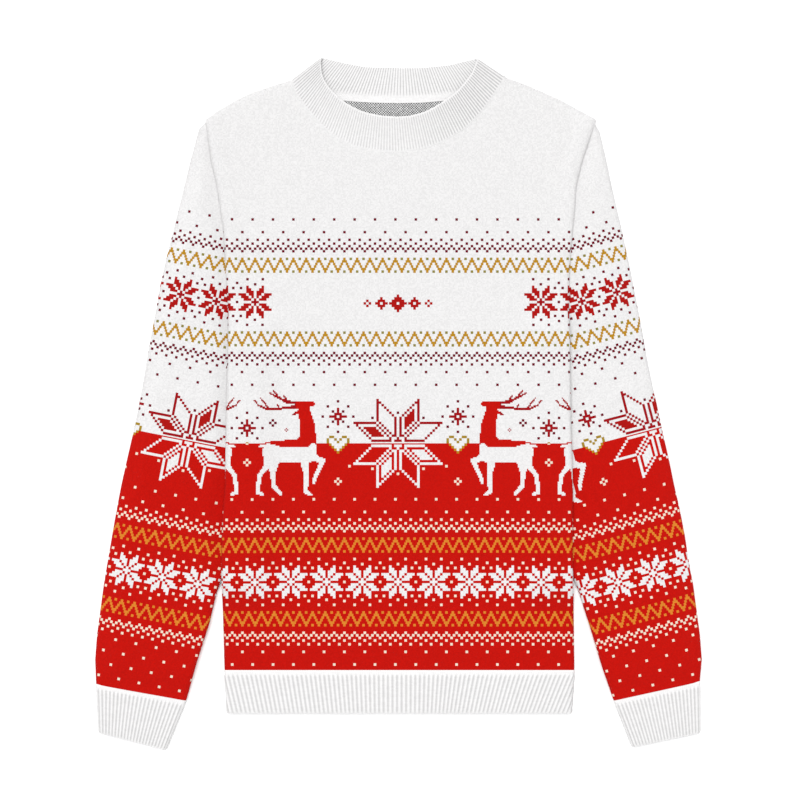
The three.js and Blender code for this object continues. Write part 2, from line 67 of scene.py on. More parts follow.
# The upper edge of the body: shoulders outside the neck, the neckband's seams between them
LEFT_SHOULDER: Table = ((-203, 298), (-186, 310), (-171, 319), (-154, 327), (-130, 335), (-113, 340))
RIGHT_SHOULDER: Table = ((113, 343), (135, 335), (153, 327), (171, 319), (187, 310), (208, 298))
FRONT_NECK_SEAM: Table = (
    (-113, 340), (-108, 325), (-98, 311), (-87, 298), (-75, 286), (-61, 276), (-45, 268), (-25, 264),
    (0, 262), (25, 266), (48, 275), (70, 288), (87, 305), (101, 325), (113, 343),
)
BACK_NECK_SEAM: Table = (
    (-113, 340), (-108, 334), (-98, 328), (-87, 324), (-75, 321), (-61, 319), (-45, 317.5), (-25, 316.5),
    (0, 316), (25, 316.5), (48, 318.5), (70, 321.5), (87, 326), (101, 334), (113, 343),
)
FRONT_NECK_EDGE: Table = (
    (-81, 364), (-81.5, 357), (-80.5, 347), (-78, 340), (-73, 332), (-67.5, 326), (-61.5, 320), (-52.5, 314),
    (-40, 307.5), (-30, 304.5), (-17, 302), (-2, 301), (12, 302), (20.5, 304), (28, 306.5), (38, 311.5),
    (47.5, 317.5), (53, 321.5), (61, 327.5), (69.5, 337), (77, 347), (83, 363),
)
BACK_NECK_EDGE: Table = (
    (-81, 364), (-69, 361), (-56, 358), (-35, 354), (2, 353), (23, 353), (54, 356), (70, 360), (83, 363),
)
LEFT_SLEEVE_OUTER: Table = (
    (-200, 299), (-210, 288), (-218.5, 256), (-225, 229), (-231.5, 203), (-238, 177), (-244.5, 151),
    (-250.5, 124), (-255, 98), (-260, 72), (-264.5, 46), (-269, 19), (-274, -7), (-279.5, -33),
    (-285.5, -59), (-291.5, -86), (-296.5, -112), (-301, -138), (-305.5, -164), (-310, -191),
    (-313.5, -217), (-317, -243), (-319, -269), (-318, -294.5),
)
LEFT_SLEEVE_INNER: Table = (
    (-171.8, 56), (-168.2, 34), (-165, 10), (-162.5, -18), (-161.3, -55), (-163.2, -93), (-169, -128),
    (-181, -173), (-191, -198), (-199, -232), (-212, -272), (-223, -311.5),
)
RIGHT_SLEEVE_OUTER: Table = (
    (203, 299), (211, 287), (218.5, 256), (224, 229), (230, 203), (236, 177), (241.5, 151), (247, 124),
    (252, 98), (257, 72), (261.5, 46), (267, 19), (273, -7), (278.5, -33), (284.5, -59), (290, -86),
    (296, -112), (301, -138), (305, -164), (310, -191), (313.5, -217), (317, -243), (319, -269),
    (317, -291.5),
)
RIGHT_SLEEVE_INNER: Table = (
    (170, 50), (165.4, 28), (163, 10), (160.5, -18), (159.4, -55), (162.2, -93), (167, -128),
    (178, -171), (188, -194), (201, -234), (214, -277), (226, -311.5),
)
# Heights at which a sleeve's end follows the armhole
ARMHOLE_HEIGHTS = (299, 280, 254, 229, 201, 181, 145, 110, 76)
UNDERARM = 77.0
HEM_TOP = -280.0
HEM_BOTTOM = -325.5
# The body's sides lie on the sleeves from the underarm down to here
SLEEVE_LEAVES = -184.0
# A folded tube of cloth is this thick, and its folds turn in half circles of this radius
TUBE_HEIGHT = 6.3
FOLD_RADIUS = TUBE_HEIGHT / 2
# How far the sleeves lift the body's sides
LAYER_LIFT = 6.6
# Thickness of the patterned cloth and of the ribbed bands
CLOTH = 2.4
RIB_CLOTH = 2.0
# The neck's seams end this far from the middle, and the shoulders' fold starts just before
NECK_HALF_WIDTH = 113
SHOULDER_FOLD = 112
# Cloth that a quarter turn takes past the edge it folds over, as a share of the fold's radius
TURN_SPARE = math.pi / 2 - 1


def ramp(value: float, low: float, high: float) -> float:
    """Smooth step of a value from 0 at low to 1 at high.

    Args:
        value: the number to place between the limits.
        low: where the step starts.
        high: where the step ends.

    Returns:
        A number from 0 to 1.
    """
    t = min(1.0, max(0.0, (value - low) / (high - low)))
    return t * t * (3 - 2 * t)


def lookup(table: Table, x: float) -> float:
    """Value of a table of points at x, straight between its points and level past its ends.

    Args:
        table: points in rising order of their first number.
        x: where to read the table.

    Returns:
        The second number at x.
    """
    if x <= table[0][0]:
        return table[0][1]
    if x >= table[-1][0]:
        return table[-1][1]
    i = bisect_right(table, (x, math.inf)) - 1
    (x0, y0), (x1, y1) = table[i], table[i + 1]
    return y0 + (y1 - y0) * (x - x0) / (x1 - x0)


def linear(hex_colour: str) -> tuple[float, float, float, float]:
    """Linear colour of an sRGB hex value.

    Args:
        hex_colour: six hex digits after a hash sign.

    Returns:
        Red, green, blue and an alpha of 1.
    """
    parts = [int(hex_colour[i:i + 2], 16) / 255 for i in (1, 3, 5)]
    red, green, blue = (c / 12.92 if c <= 0.04045 else ((c + 0.055) / 1.055) ** 2.4 for c in parts)
    return red, green, blue, 1.0


class Yarn(Enum):
    """Colours of a stitch. A lone square or a line of single squares reads deeper than a field of them."""

    WHITE = "#eeeded"
    RED = "#c60f05"
    DEEP_RED = "#ae120e"
    LINE_RED = "#a01016"
    LONE_RED = "#70061f"
    GOLD = "#bb8a22"
    LONE_GOLD = "#8e8440"
    HEART_GOLD = "#a5862a"
    GOLD_ON_RED = "#dd842c"
    CREAM = "#f4e3cf"


class Mark(Enum):
    """What a square of the chart belongs to, which settles its yarn on a white and on a red ground."""

    DOT = (Yarn.LONE_RED, Yarn.CREAM)
    LINE = (Yarn.LINE_RED, Yarn.WHITE)
    FIELD = (Yarn.RED, Yarn.WHITE)
    MOTIF = (Yarn.DEEP_RED, Yarn.WHITE)
    GOLD_LINE = (Yarn.GOLD, Yarn.GOLD_ON_RED)
    GOLD_DOT = (Yarn.LONE_GOLD, Yarn.GOLD_ON_RED)
    HEART = (Yarn.HEART_GOLD, Yarn.GOLD)
    WHITE = (Yarn.WHITE, Yarn.WHITE)


@dataclass(frozen=True)
class Stroke:
    """A thick line of an animal's figure, in squares, from one end with its radius to the other."""

    x0: float
    y0: float
    x1: float
    y1: float
    r0: float
    r1: float

    def covers(self, x: float, y: float) -> bool:
        """Whether the stroke covers a place of the chart.

        Args:
            x: the place's column.
            y: its row.

        Returns:
            True where the place is within the stroke.
        """
        dx, dy = self.x1 - self.x0, self.y1 - self.y0
        t = ((x - self.x0) * dx + (y - self.y0) * dy) / (dx * dx + dy * dy)
        t = min(1.0, max(0.0, t))
        reach = self.r0 + (self.r1 - self.r0) * t
        return math.hypot(x - self.x0 - t * dx, y - self.y0 - t * dy) <= reach


# A plain stag of our own, in strokes: first what stands above the horizon, then what is below it
STAG_ABOVE = (
    Stroke(35.0, 0.2, 35.6, 7.0, 3.2, 3.0), Stroke(35.6, 7.0, 36.8, 13.2, 3.0, 2.2),
    Stroke(37.4, 14.8, 33.4, 15.6, 1.5, 0.9), Stroke(38.6, 12.4, 41.0, 11.4, 0.9, 0.4),
    Stroke(36.5, 1.6, 39.0, 0.4, 2.6, 1.2), Stroke(39.0, 0.3, 48.0, 0.2, 1.2, 0.9),
    Stroke(48.0, 0.2, 51.5, 0.0, 0.9, 0.4), Stroke(38.0, 15.7, 44.0, 16.3, 0.75, 0.6),
    Stroke(44.0, 16.3, 47.0, 18.2, 0.6, 0.45), Stroke(47.0, 18.2, 48.8, 20.8, 0.45, 0.35),
    Stroke(46.4, 17.6, 50.0, 19.6, 0.4, 0.3), Stroke(43.4, 16.4, 44.6, 18.6, 0.4, 0.35),
    Stroke(39.0, 14.4, 46.0, 13.7, 0.7, 0.5), Stroke(46.0, 13.7, 51.6, 13.5, 0.5, 0.45),
    Stroke(51.6, 13.5, 54.6, 15.0, 0.45, 0.35), Stroke(54.6, 15.0, 56.0, 16.8, 0.35, 0.3),
    Stroke(50.6, 13.8, 53.6, 17.6, 0.4, 0.3), Stroke(46.6, 13.9, 47.4, 15.4, 0.4, 0.3),
)
STAG_BELOW = (
    Stroke(33.2, -0.6, 34.4, -4.4, 1.0, 2.9), Stroke(35.6, -4.6, 47.0, -4.5, 3.0, 3.1),
    Stroke(47.0, -4.3, 50.0, -3.4, 3.1, 3.1), Stroke(50.4, -0.9, 54.4, -1.2, 0.9, 0.35),
    Stroke(33.6, -5.6, 29.4, -6.8, 1.4, 0.9), Stroke(29.4, -6.8, 32.2, -12.8, 0.95, 0.75),
    Stroke(32.2, -12.8, 33.2, -15.6, 0.8, 0.5), Stroke(36.6, -7.0, 35.9, -12.0, 1.8, 0.95),
    Stroke(35.9, -12.0, 36.1, -18.0, 0.95, 0.8), Stroke(36.0, -19.0, 34.2, -20.1, 0.9, 0.55),
    Stroke(48.8, -6.0, 49.0, -11.0, 2.8, 1.2), Stroke(49.0, -11.0, 48.6, -16.8, 1.15, 0.8),
    Stroke(48.6, -16.8, 45.8, -20.1, 0.85, 0.55), Stroke(50.2, -5.6, 51.4, -9.0, 2.4, 1.1),
    Stroke(51.4, -9.0, 54.0, -12.4, 1.1, 0.85), Stroke(54.0, -12.4, 54.9, -18.0, 0.85, 0.75),
    Stroke(54.7, -19.2, 53.0, -20.1, 0.85, 0.55),
)


class Centre(Enum):
    """What is knitted at the middle of the chest between the upper stars."""

    LOZENGES = "a short row of plain lozenges"
    STARS = "the row of stars going on all the way"


@dataclass
class Chart:
    """The knitted pattern, in squares across from its middle and up from the horizon.

    A square is two stitches by two, so a motif may lie half a square off the others.
    """

    centre: Centre
    columns: int = 84
    lower_stars: float = -54.5
    upper_stars: float = 55.5
    star_step: int = 14
    bare_columns: int = 50
    hearts: float = 23.5
    outer_flakes: int = 59
    stags_from: int = 27
    marks: dict[Cell, Mark] = field(default_factory=dict)

    def __post_init__(self) -> None:
        """Draws every motif, from the bands of stars to the figures between them."""
        self._bands(self.lower_stars)
        self._bands(self.upper_stars)
        if self.centre is Centre.LOZENGES:
            self._lozenges()
        self._big_star()
        self._figures()
        self._stags()
        self.row_edges = self._row_edges()

    def _row_edges(self) -> list[float]:
        """Lower edges of the rows of squares, with half rows where the motifs are half a square off."""
        edges = {0.0} | {k + 0.5 for k in range(-22, 23)}
        for middle in (self.lower_stars, self.upper_stars):
            for side in (-1, 1):
                edges |= {middle + side * (k + 0.5) for k in range(24)}
                edges |= {middle + side * k for k in range(24, 34)}
        low, high = min(edges), max(edges)
        edges |= {low - k for k in range(1, 34)}
        edges |= {high + 2 * k for k in range(1, 34)}
        return sorted(edges)

    def _mark(self, squares: Iterable[tuple[float, float]], mark: Mark) -> None:
        """Marks squares.

        Args:
            squares: middle of each, as columns and rows.
            mark: what they belong to.
        """
        for column, row in squares:
            left, base = round(2 * column) - 1, round(2 * row) - 1
            for i in (0, 1):
                for j in (0, 1):
                    self.marks[(left + i, base + j)] = mark

    def _bands(self, middle: float) -> None:
        """Rows of stars with their zigzags on both sides.

        Args:
            middle: the row through the stars.
        """
        bare = middle > 0 and self.centre is Centre.LOZENGES
        arms = ((1, 2), (1, 3), (2, 3), (1, 4), (2, 4), (3, 4), (2, 5), (3, 5), (3, 6))
        first = -(self.columns // self.star_step) * self.star_step
        for c in range(first, self.columns, self.star_step):
            if bare and abs(c) < self.bare_columns:
                continue
            for i, j in arms:
                for a, b in ((i, j), (j, i)):
                    points = ((c + sa * a, middle + sb * b) for sa in (-1, 1) for sb in (-1, 1))
                    self._mark(points, Mark.MOTIF)
            cross = [(c, middle), (c - 1, middle), (c + 1, middle), (c, middle - 1), (c, middle + 1)]
            self._mark(cross, Mark.LINE)
            for side in (-1, 1):
                spots = [(c - 3, middle + 9 * side), (c + 3, middle + 9 * side), (c, middle + 7 * side)]
                self._mark(spots, Mark.DOT)
        for c in range(first + self.star_step // 2, self.columns, self.star_step):
            if bare and abs(c) < self.bare_columns + 6:
                continue
            self._mark([(c, middle)], Mark.DOT)
            for side in (-1, 1):
                spots = [(c, 7.5), (c - 1.5, 5.5), (c + 1.5, 5.5)]
                self._mark(((x, middle + d * side) for x, d in spots), Mark.DOT)
        fine = ((20, 4, 3), (21, 2, 0), (22, 4, 1), (23, 4, 3), (24.5, 4, 1), (27.5, 8, 3), (32.5, 8, 7))
        for d, start in ((37.5, 3), (42.5, 7)) if middle < 0 else ():
            spots = (c for c in range(-self.columns, self.columns) if c % 8 == start)
            self._mark(((c, middle - d) for c in spots), Mark.DOT)
        for side in (-1, 1):
            for peak in range(4 - 5 * 18, self.columns, 5):
                legs = [(peak + s * (17 - d) / 2, middle + side * d) for d in range(12, 18) for s in (-1, 1)]
                self._mark(legs, Mark.GOLD_LINE)
                dots = [(peak, middle + side * 12), (peak + 2.5, middle + side * 17)]
                self._mark(dots, Mark.GOLD_DOT)
            for d, every, start in fine:
                spots = (c for c in range(-self.columns, self.columns) if c % every == start)
                self._mark(((c, middle + side * d) for c in spots), Mark.DOT)

    def _lozenges(self) -> None:
        """A short row of plain lozenges at the middle of the chest."""
        for c, size in ((-12, 1), (-6.5, 2), (0, 3), (6.5, 2), (12, 1)):
            for i in range(-size, size + 1):
                for j in range(-size, size + 1):
                    if abs(i) + abs(j) <= size and (i, j) != (0, 0):
                        self._mark([(c + i, self.upper_stars - 0.5 + j)], Mark.MOTIF)

    def _big_star(self) -> None:
        """The eight-pointed star that straddles the horizon, with its alternate points filled."""
        for sx in (-1, 1):
            for sy in (-1, 1):
                for swap in (False, True):
                    lines = [(8, j) for j in range(9, 18)] + [(1, j) for j in range(3, 11)]
                    beads = [(8 - k, 17 - k) for k in range(1, 7)] + [(i, i + 1) for i in range(2, 8)]
                    fill = [(i, j) for i in range(3, 7) for j in range(i + 3, i + 8)]
                    filled = (sx * sy > 0) != swap
                    for squares, mark in ((fill if filled else [], Mark.MOTIF), (lines, Mark.LINE),
                                          (beads, Mark.LINE)):
                        self._mark(((sx * (j if swap else i), sy * (i if swap else j))
                                    for i, j in squares), mark)
        for side in (-1, 1):
            self._mark([(0, 2 * side), (-1, side), (0, side), (1, side)], Mark.LINE)
            self._mark([(0, 12 * side), (10, 10 * side), (-10, 10 * side)], Mark.DOT)
        self._mark([(19, -9), (-19, -9)], Mark.DOT)

    def _figures(self) -> None:
        """Hearts, snowflakes and small rings to both sides of the big star."""
        heart = ((2, 3), (3, 3), (4, 2), (1, 2), (4, 1), (0, 1), (3, 0), (2, -1), (1, -2), (0, -3))
        plus = ((1, 0), (-1, 0), (0, 1), (0, -1))
        for side in (-1, 1):
            for j in range(-3, 3):
                reach = max(i for i, row in heart if row == j)
                self._mark(((self.hearts * side + i, j - 0.5) for i in range(1 - reach, reach)), Mark.WHITE)
            outline = [(self.hearts * side + s * i, j - 0.5) for i, j in heart for s in (-1, 1)]
            self._mark(outline, Mark.HEART)
            for c, r in ((self.hearts, 10.5), (self.outer_flakes, 6)):
                arms = [(0, n) for n in (1, 2, 3)] + [(n, 0) for n in (1, 2, 3)] + [(1, 1)]
                for squares, mark in ((arms, Mark.LINE), ([(2, 2), (0, 6), (6, 0), (4, 4)], Mark.DOT)):
                    self._mark(((c * side + si * i, r + sj * j)
                                for i, j in squares for si in (-1, 1) for sj in (-1, 1)), mark)
            for c, r in ((49, 8), (self.outer_flakes, -7.5), (self.hearts, -15)):
                self._mark(((c * side + i, r + j) for i, j in plus), Mark.DOT)
            eye = 87 if side > 0 else -88
            for i, j in plus:
                self.marks[(eye + i, 10 + j)] = Mark.LINE
            bead = 2 * self.outer_flakes * side
            self.marks[(bead, 0)] = self.marks[(bead - 1, 0)] = Mark.GOLD_LINE

    def _stags(self) -> None:
        """Stags that face the big star, and the ones that face away beyond the outer snowflakes."""
        for m in range(-2 * self.columns, 2 * self.columns):
            column = abs(m + 0.5) / 2
            place = column if column <= self.outer_flakes else 2 * self.outer_flakes - column
            if place <= self.stags_from:
                continue
            for n in range(-44, 46):
                row = (n + 0.5) / 2
                strokes = STAG_ABOVE if n >= 0 else STAG_BELOW
                if any(stroke.covers(place, row) for stroke in strokes):
                    thin = n >= 0 and place > 40 and row > 2
                    self.marks[(m, n)] = Mark.LINE if thin else Mark.FIELD

    def splits(self, left: float, base: float, top: float) -> tuple[bool, bool]:
        """Whether a square needs its halves apart, across and up.

        Args:
            left: the square's left edge, in squares from the middle.
            base: its lower edge, from the horizon.
            top: its upper edge.

        Returns:
            Whether its left and right halves differ, and its lower and upper halves.
        """
        m, n = round(2 * left), round(2 * base)
        if top - base > 1.5:
            return False, False
        upper = n + 1 if top - base > 0.75 else n
        a, b = self.marks.get((m, n)), self.marks.get((m + 1, n))
        c, d = self.marks.get((m, upper)), self.marks.get((m + 1, upper))
        return a != b or c != d, a != c or b != d

    def yarn(self, column: float, row: float) -> Yarn:
        """Yarn at a place of the chart.

        Args:
            column: squares across from the middle.
            row: squares up from the horizon.

        Returns:
            The yarn.
        """
        mark = self.marks.get((math.floor(2 * column), math.floor(2 * row)))
        if mark is None:
            return Yarn.WHITE if row > 0 else Yarn.RED
        return mark.value[0 if row > 0 else 1]


@dataclass(frozen=True)
class Crease:
    """A soft fold that lies in the cloth, from one end to the other, higher or lower than the cloth."""

    x0: float
    y0: float
    x1: float
    y1: float
    half_width: float
    height: float

    def rise(self, x: float, y: float) -> float:
        """Height that the crease adds at a place.

        Args:
            x: the place across.
            y: the place along.

        Returns:
            The height in millimetres, below 0 in a trough.
        """
        dx, dy = self.x1 - self.x0, self.y1 - self.y0
        length = math.hypot(dx, dy)
        along = ((x - self.x0) * dx + (y - self.y0) * dy) / length
        across = ((x - self.x0) * dy - (y - self.y0) * dx) / length
        if abs(across) > 2.5 * self.half_width or not -10 < along < length + 10:
            return 0.0
        ends = ramp(along, -10, length * 0.3) * (1 - ramp(along, length * 0.65, length + 10))
        return self.height * ends * math.exp(-((across / self.half_width) ** 2))


BODY_CREASES = (
    Crease(-168, 88, -96, 150, 9, 0.9), Crease(-172, 64, -120, 60, 7, -0.7),
    Crease(168, 92, 104, 168, 10, 0.8), Crease(172, 60, 112, 40, 7, -0.7),
    Crease(-60, -210, -44, -90, 14, 0.6), Crease(84, -230, 70, -120, 12, 0.7),
    Crease(-150, -150, -128, -40, 12, 0.6), Crease(138, -170, 126, -60, 13, 0.6),
    Crease(-20, 180, 10, 236, 16, 0.5), Crease(40, 70, 96, 92, 15, 0.4),
)
SLEEVE_CREASES = (
    Crease(-232, 150, -206, 112, 6, 0.8), Crease(-262, 20, -214, 2, 8, 0.7),
    Crease(-276, -80, -222, -96, 7, 0.7), Crease(-300, -200, -240, -214, 8, 0.6),
    Crease(-252, 88, -214, 66, 7, -0.6), Crease(-292, -150, -236, -168, 7, -0.6),
    Crease(230, 148, 204, 118, 6, 0.8), Crease(262, 26, 216, 0, 8, 0.7),
    Crease(274, -72, 224, -98, 7, 0.7), Crease(302, -196, 246, -220, 8, 0.6),
    Crease(250, 92, 212, 70, 7, -0.6), Crease(290, -140, 234, -160, 7, -0.6),
)


def from_side(x: float, y: float) -> float:
    """Distance of a place from the nearer side of the body."""
    return min(x - lookup(LEFT_EDGE, y), lookup(RIGHT_EDGE, y) - x)


def lift_along(y: float) -> float:
    """How far the sleeves lift the body at a height along it, from 0 to 1."""
    return ramp(y, SLEEVE_LEAVES - 40, SLEEVE_LEAVES) * (1 - ramp(y, UNDERARM, UNDERARM + 34))


def body_base(x: float, y: float) -> float:
    """Height of the body's underside above the surface."""
    return LAYER_LIFT * (1 - ramp(from_side(x, y), 29, 64)) * lift_along(y)


def new_mesh_piece(name: str, body: bmesh.types.BMesh, materials: Sequence[bpy.types.Material]) -> bpy.types.Object:
    """Makes an object of a mesh in millimetres, and has it ride on the body.

    Args:
        name: the piece's name.
        body: its mesh, which is freed.
        materials: its materials in the order of its slots.

    Returns:
        The object.
    """
    bmesh.ops.scale(body, vec=(MM, MM, MM), verts=body.verts)
    mesh = bpy.data.meshes.new(name)
    body.to_mesh(mesh)
    body.free()
    for material in materials:
        mesh.materials.append(material)
    piece = bpy.data.objects.new(name, mesh)
    bpy.context.scene.collection.objects.link(piece)
    bpy.ops.object.select_all(action="DESELECT")
    bpy.context.view_layer.objects.active = piece
    piece.select_set(True)
    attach(piece, "root")
    return piece


def thicken(piece: bpy.types.Object, thickness: float, inner_slot: int, smooth: float = 65.0) -> None:
    """Gives a sheet its cloth's thickness, inwards, and smooths its shading.

    Args:
        piece: the sheet.
        thickness: millimetres of cloth.
        inner_slot: how many material slots further the inner face is.
        smooth: degrees between faces up to which their shading runs on.
    """
    wall = piece.modifiers.new("cloth", "SOLIDIFY")
    wall.thickness = thickness * MM
    wall.offset = -1
    wall.use_even_offset = False
    wall.material_offset = inner_slot
    bpy.ops.object.select_all(action="DESELECT")
    bpy.context.view_layer.objects.active = piece
    piece.select_set(True)
    bpy.ops.object.modifier_apply(modifier="cloth")
    bpy.ops.object.shade_smooth_by_angle(angle=math.radians(smooth))
    piece.select_set(False)


def lay_cloth(name: str, node: str, body: bmesh.types.BMesh, materials: Sequence[bpy.types.Material],
              thickness: float) -> bpy.types.Object:
    """Makes a piece of cloth of a mesh and stands it in for its solid.

    Args:
        name: the piece's name.
        node: the node of the solid.
        body: the outer face in millimetres, which is freed.
        materials: of the outer face, and of the inner face where it has its own.
        thickness: millimetres of cloth.

    Returns:
        The piece.
    """
    piece = new_mesh_piece(name, body, materials)
    thicken(piece, thickness, len(materials) - 1)
    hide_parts(node)
    return piece


def join_rings(mesh: bmesh.types.BMesh, rings: list[list[bmesh.types.BMVert]], per_rib: int,
               rows: Sequence[float], down: bool) -> None:
    """Joins rings of vertices with faces, and maps ribs across them and rows of stitches along them.

    Args:
        mesh: the mesh, with its stitch map.
        rings: the vertices of each ring, from the seam to the free edge.
        per_rib: vertices to a rib.
        rows: the row of stitches at each ring.
        down: whether the free edge is the lower one.
    """
    stitches = mesh.loops.layers.uv["Stitches"]
    columns = len(rings[0])
    for j in range(len(rings) - 1):
        low, high = (j + 1, j) if down else (j, j + 1)
        for k in range(columns):
            spots = ((k, low), (k + 1, low), (k + 1, high), (k, high))
            face = mesh.faces.new([rings[row][u % columns] for u, row in spots])
            for loop, (u, row) in zip(face.loops, spots):
                loop[stitches].uv = (u / per_rib, rows[row])


@dataclass
class KnitLayer:
    """One layer of patterned cloth as a grid with a face for each square, cut along its outline.

    A square is split where its halves differ. Places are measured across and along the pattern from
    its middle, in millimetres of cloth.
    """

    chart: Chart
    origin: tuple[float, float]
    across: tuple[float, float]
    inside: Callable[[float, float], float]
    place: Callable[[float, float], Point]
    upper: bool
    cell: tuple[float, float] = (CELL_WIDTH, CELL_HEIGHT)
    margin: float = 6.0
    halvings: int = 9

    def plan(self, a: float, b: float) -> tuple[float, float]:
        """Place on the surface of a point of the pattern.

        Args:
            a: millimetres across the pattern.
            b: millimetres along it.

        Returns:
            x and y in the part's frame.
        """
        ax, ay = self.across
        return self.origin[0] + a * ax - b * ay, self.origin[1] + a * ay + b * ax

    def build(self, mesh: bmesh.types.BMesh, span: tuple[float, float, float, float]) -> None:
        """Adds the layer's squares to a mesh.

        Args:
            mesh: the mesh to add to.
            span: least and most places across, then along, that the layer can reach.
        """
        stitches = mesh.loops.layers.uv.get("Stitches") or mesh.loops.layers.uv.new("Stitches")
        yarns = mesh.loops.layers.float_color.get("Yarn") or mesh.loops.layers.float_color.new("Yarn")
        width, height = self.cell
        first, last = (math.floor(span[k] / width) for k in (0, 1))
        columns = [k - 0.5 for k in range(first, last + 2)]
        rows = [r for r in self.chart.row_edges if span[2] - self.margin < r * height < span[3] + self.margin]
        across = [self.chart_split(columns, rows, i, j) for j in range(-1, len(rows))
                  for i in range(-1, len(columns))]
        wide = len(columns) + 1

        def split(i: int, j: int) -> tuple[bool, bool]:
            """Whether a square's halves are apart, across and up."""
            return across[(j + 1) * wide + i + 1]

        def spot(lattice: Cell) -> tuple[float, float]:
            """Place on the flat cloth of a point of the half-square lattice.

            Args:
                lattice: the point's column and row.

            Returns:
                Millimetres across and along.
            """
            x, y = lattice
            return ((columns[x // 2] + columns[(x + 1) // 2]) / 2 * width,
                    (rows[y // 2] + rows[(y + 1) // 2]) / 2 * height)

        depths: dict[Cell, float] = {}
        corners: dict[tuple, tuple] = {}

        def depth(lattice: Cell) -> float:
            """How far inside the outline a point of the lattice is.

            Args:
                lattice: the point's column and row.

            Returns:
                Millimetres, below 0 outside.
            """
            if lattice not in depths:
                depths[lattice] = self.inside(*spot(lattice))
            return depths[lattice]

        def corner(key: tuple, a: float, b: float) -> tuple:
            """Vertex at a place of the pattern, made once.

            Args:
                key: what the vertex is known by.
                a: millimetres across the pattern.
                b: millimetres along it.

            Returns:
                The vertex with its place.
            """
            if key not in corners:
                corners[key] = (mesh.verts.new(self.place(a, b)), a, b)
            return corners[key]

        def crossing(start: Cell, end: Cell) -> tuple:
            """Vertex where the outline crosses the line between two points of the lattice.

            Args:
                start: one point.
                end: the other, on the other side of the outline.

            Returns:
                The vertex with its place.
            """
            if start > end:
                start, end = end, start
            (a0, b0), (a1, b1) = spot(start), spot(end)
            low, high = (0.0, 1.0) if depth(start) < 0 else (1.0, 0.0)
            for _ in range(self.halvings):
                middle = (low + high) / 2
                if self.inside(a0 + (a1 - a0) * middle, b0 + (b1 - b0) * middle) < 0:
                    low = middle
                else:
                    high = middle
            return corner((start, end), a0 + (a1 - a0) * high, b0 + (b1 - b0) * high)

        def outline(i: int, j: int, x: tuple[int, int], y: tuple[int, int]) -> list[Cell]:
            """Corners of a face, with those of its neighbours' halves that lie on its edges.

            Args:
                i: the square's column.
                j: its row.
                x: the face's left and right lines of the lattice.
                y: its lower and upper lines.

            Returns:
                Points of the lattice, in turn.
            """
            (x0, x1), (y0, y1) = x, y
            ring = [(x0, y0)]
            if x1 - x0 == 2 and y0 == 2 * j and split(i, j - 1)[0]:
                ring.append((x0 + 1, y0))
            ring.append((x1, y0))
            if y1 - y0 == 2 and x1 == 2 * i + 2 and split(i + 1, j)[1]:
                ring.append((x1, y0 + 1))
            ring.append((x1, y1))
            if x1 - x0 == 2 and y1 == 2 * j + 2 and split(i, j + 1)[0]:
                ring.append((x0 + 1, y1))
            ring.append((x0, y1))
            if y1 - y0 == 2 and x0 == 2 * i and split(i - 1, j)[1]:
                ring.append((x0, y0 + 1))
            return ring

        for j in range(len(rows) - 1):
            for i in range(len(columns) - 1):
                sx, sy = split(i, j)
                xs = (2 * i, 2 * i + 1, 2 * i + 2) if sx else (2 * i, 2 * i + 2)
                ys = (2 * j, 2 * j + 1, 2 * j + 2) if sy else (2 * j, 2 * j + 2)
                for x0, x1 in zip(xs, xs[1:]):
                    for y0, y1 in zip(ys, ys[1:]):
                        ring = outline(i, j, (x0, x1), (y0, y1))
                        within = [depth(p) >= 0 for p in ring]
                        if not any(within):
                            continue
                        points = []
                        for k, here in enumerate(ring):
                            there = (k + 1) % len(ring)
                            if within[k]:
                                points.append(corner(here, *spot(here)))
                            if within[k] != within[there]:
                                points.append(crossing(here, ring[there]))
                        if len(points) < 3:
                            continue
                        ordered = points if self.upper else points[::-1]
                        face = mesh.faces.new([p[0] for p in ordered])
                        (a0, b0), (a1, b1) = spot((x0, y0)), spot((x1, y1))
                        yarn = self.chart.yarn((a0 + a1) / 2 / width, (b0 + b1) / 2 / height)
                        colour = linear(yarn.value)
                        for loop, (_, a, b) in zip(face.loops, ordered):
                            loop[stitches].uv = (2 * a / width, 2 * b / height)
                            loop[yarns] = colour

    def chart_split(self, columns: list[float], rows: list[float], i: int, j: int) -> tuple[bool, bool]:
        """Whether a square's halves are apart, or no for one beyond the grid.

        Args:
            columns: left edges of the columns.
            rows: lower edges of the rows.
            i: the square's column.
            j: its row.

        Returns:
            Whether its halves are apart across, and up.
        """
        if not (0 <= i < len(columns) - 1 and 0 <= j < len(rows) - 1):
            return False, False
        return self.chart.splits(columns[i], rows[j], rows[j + 1])


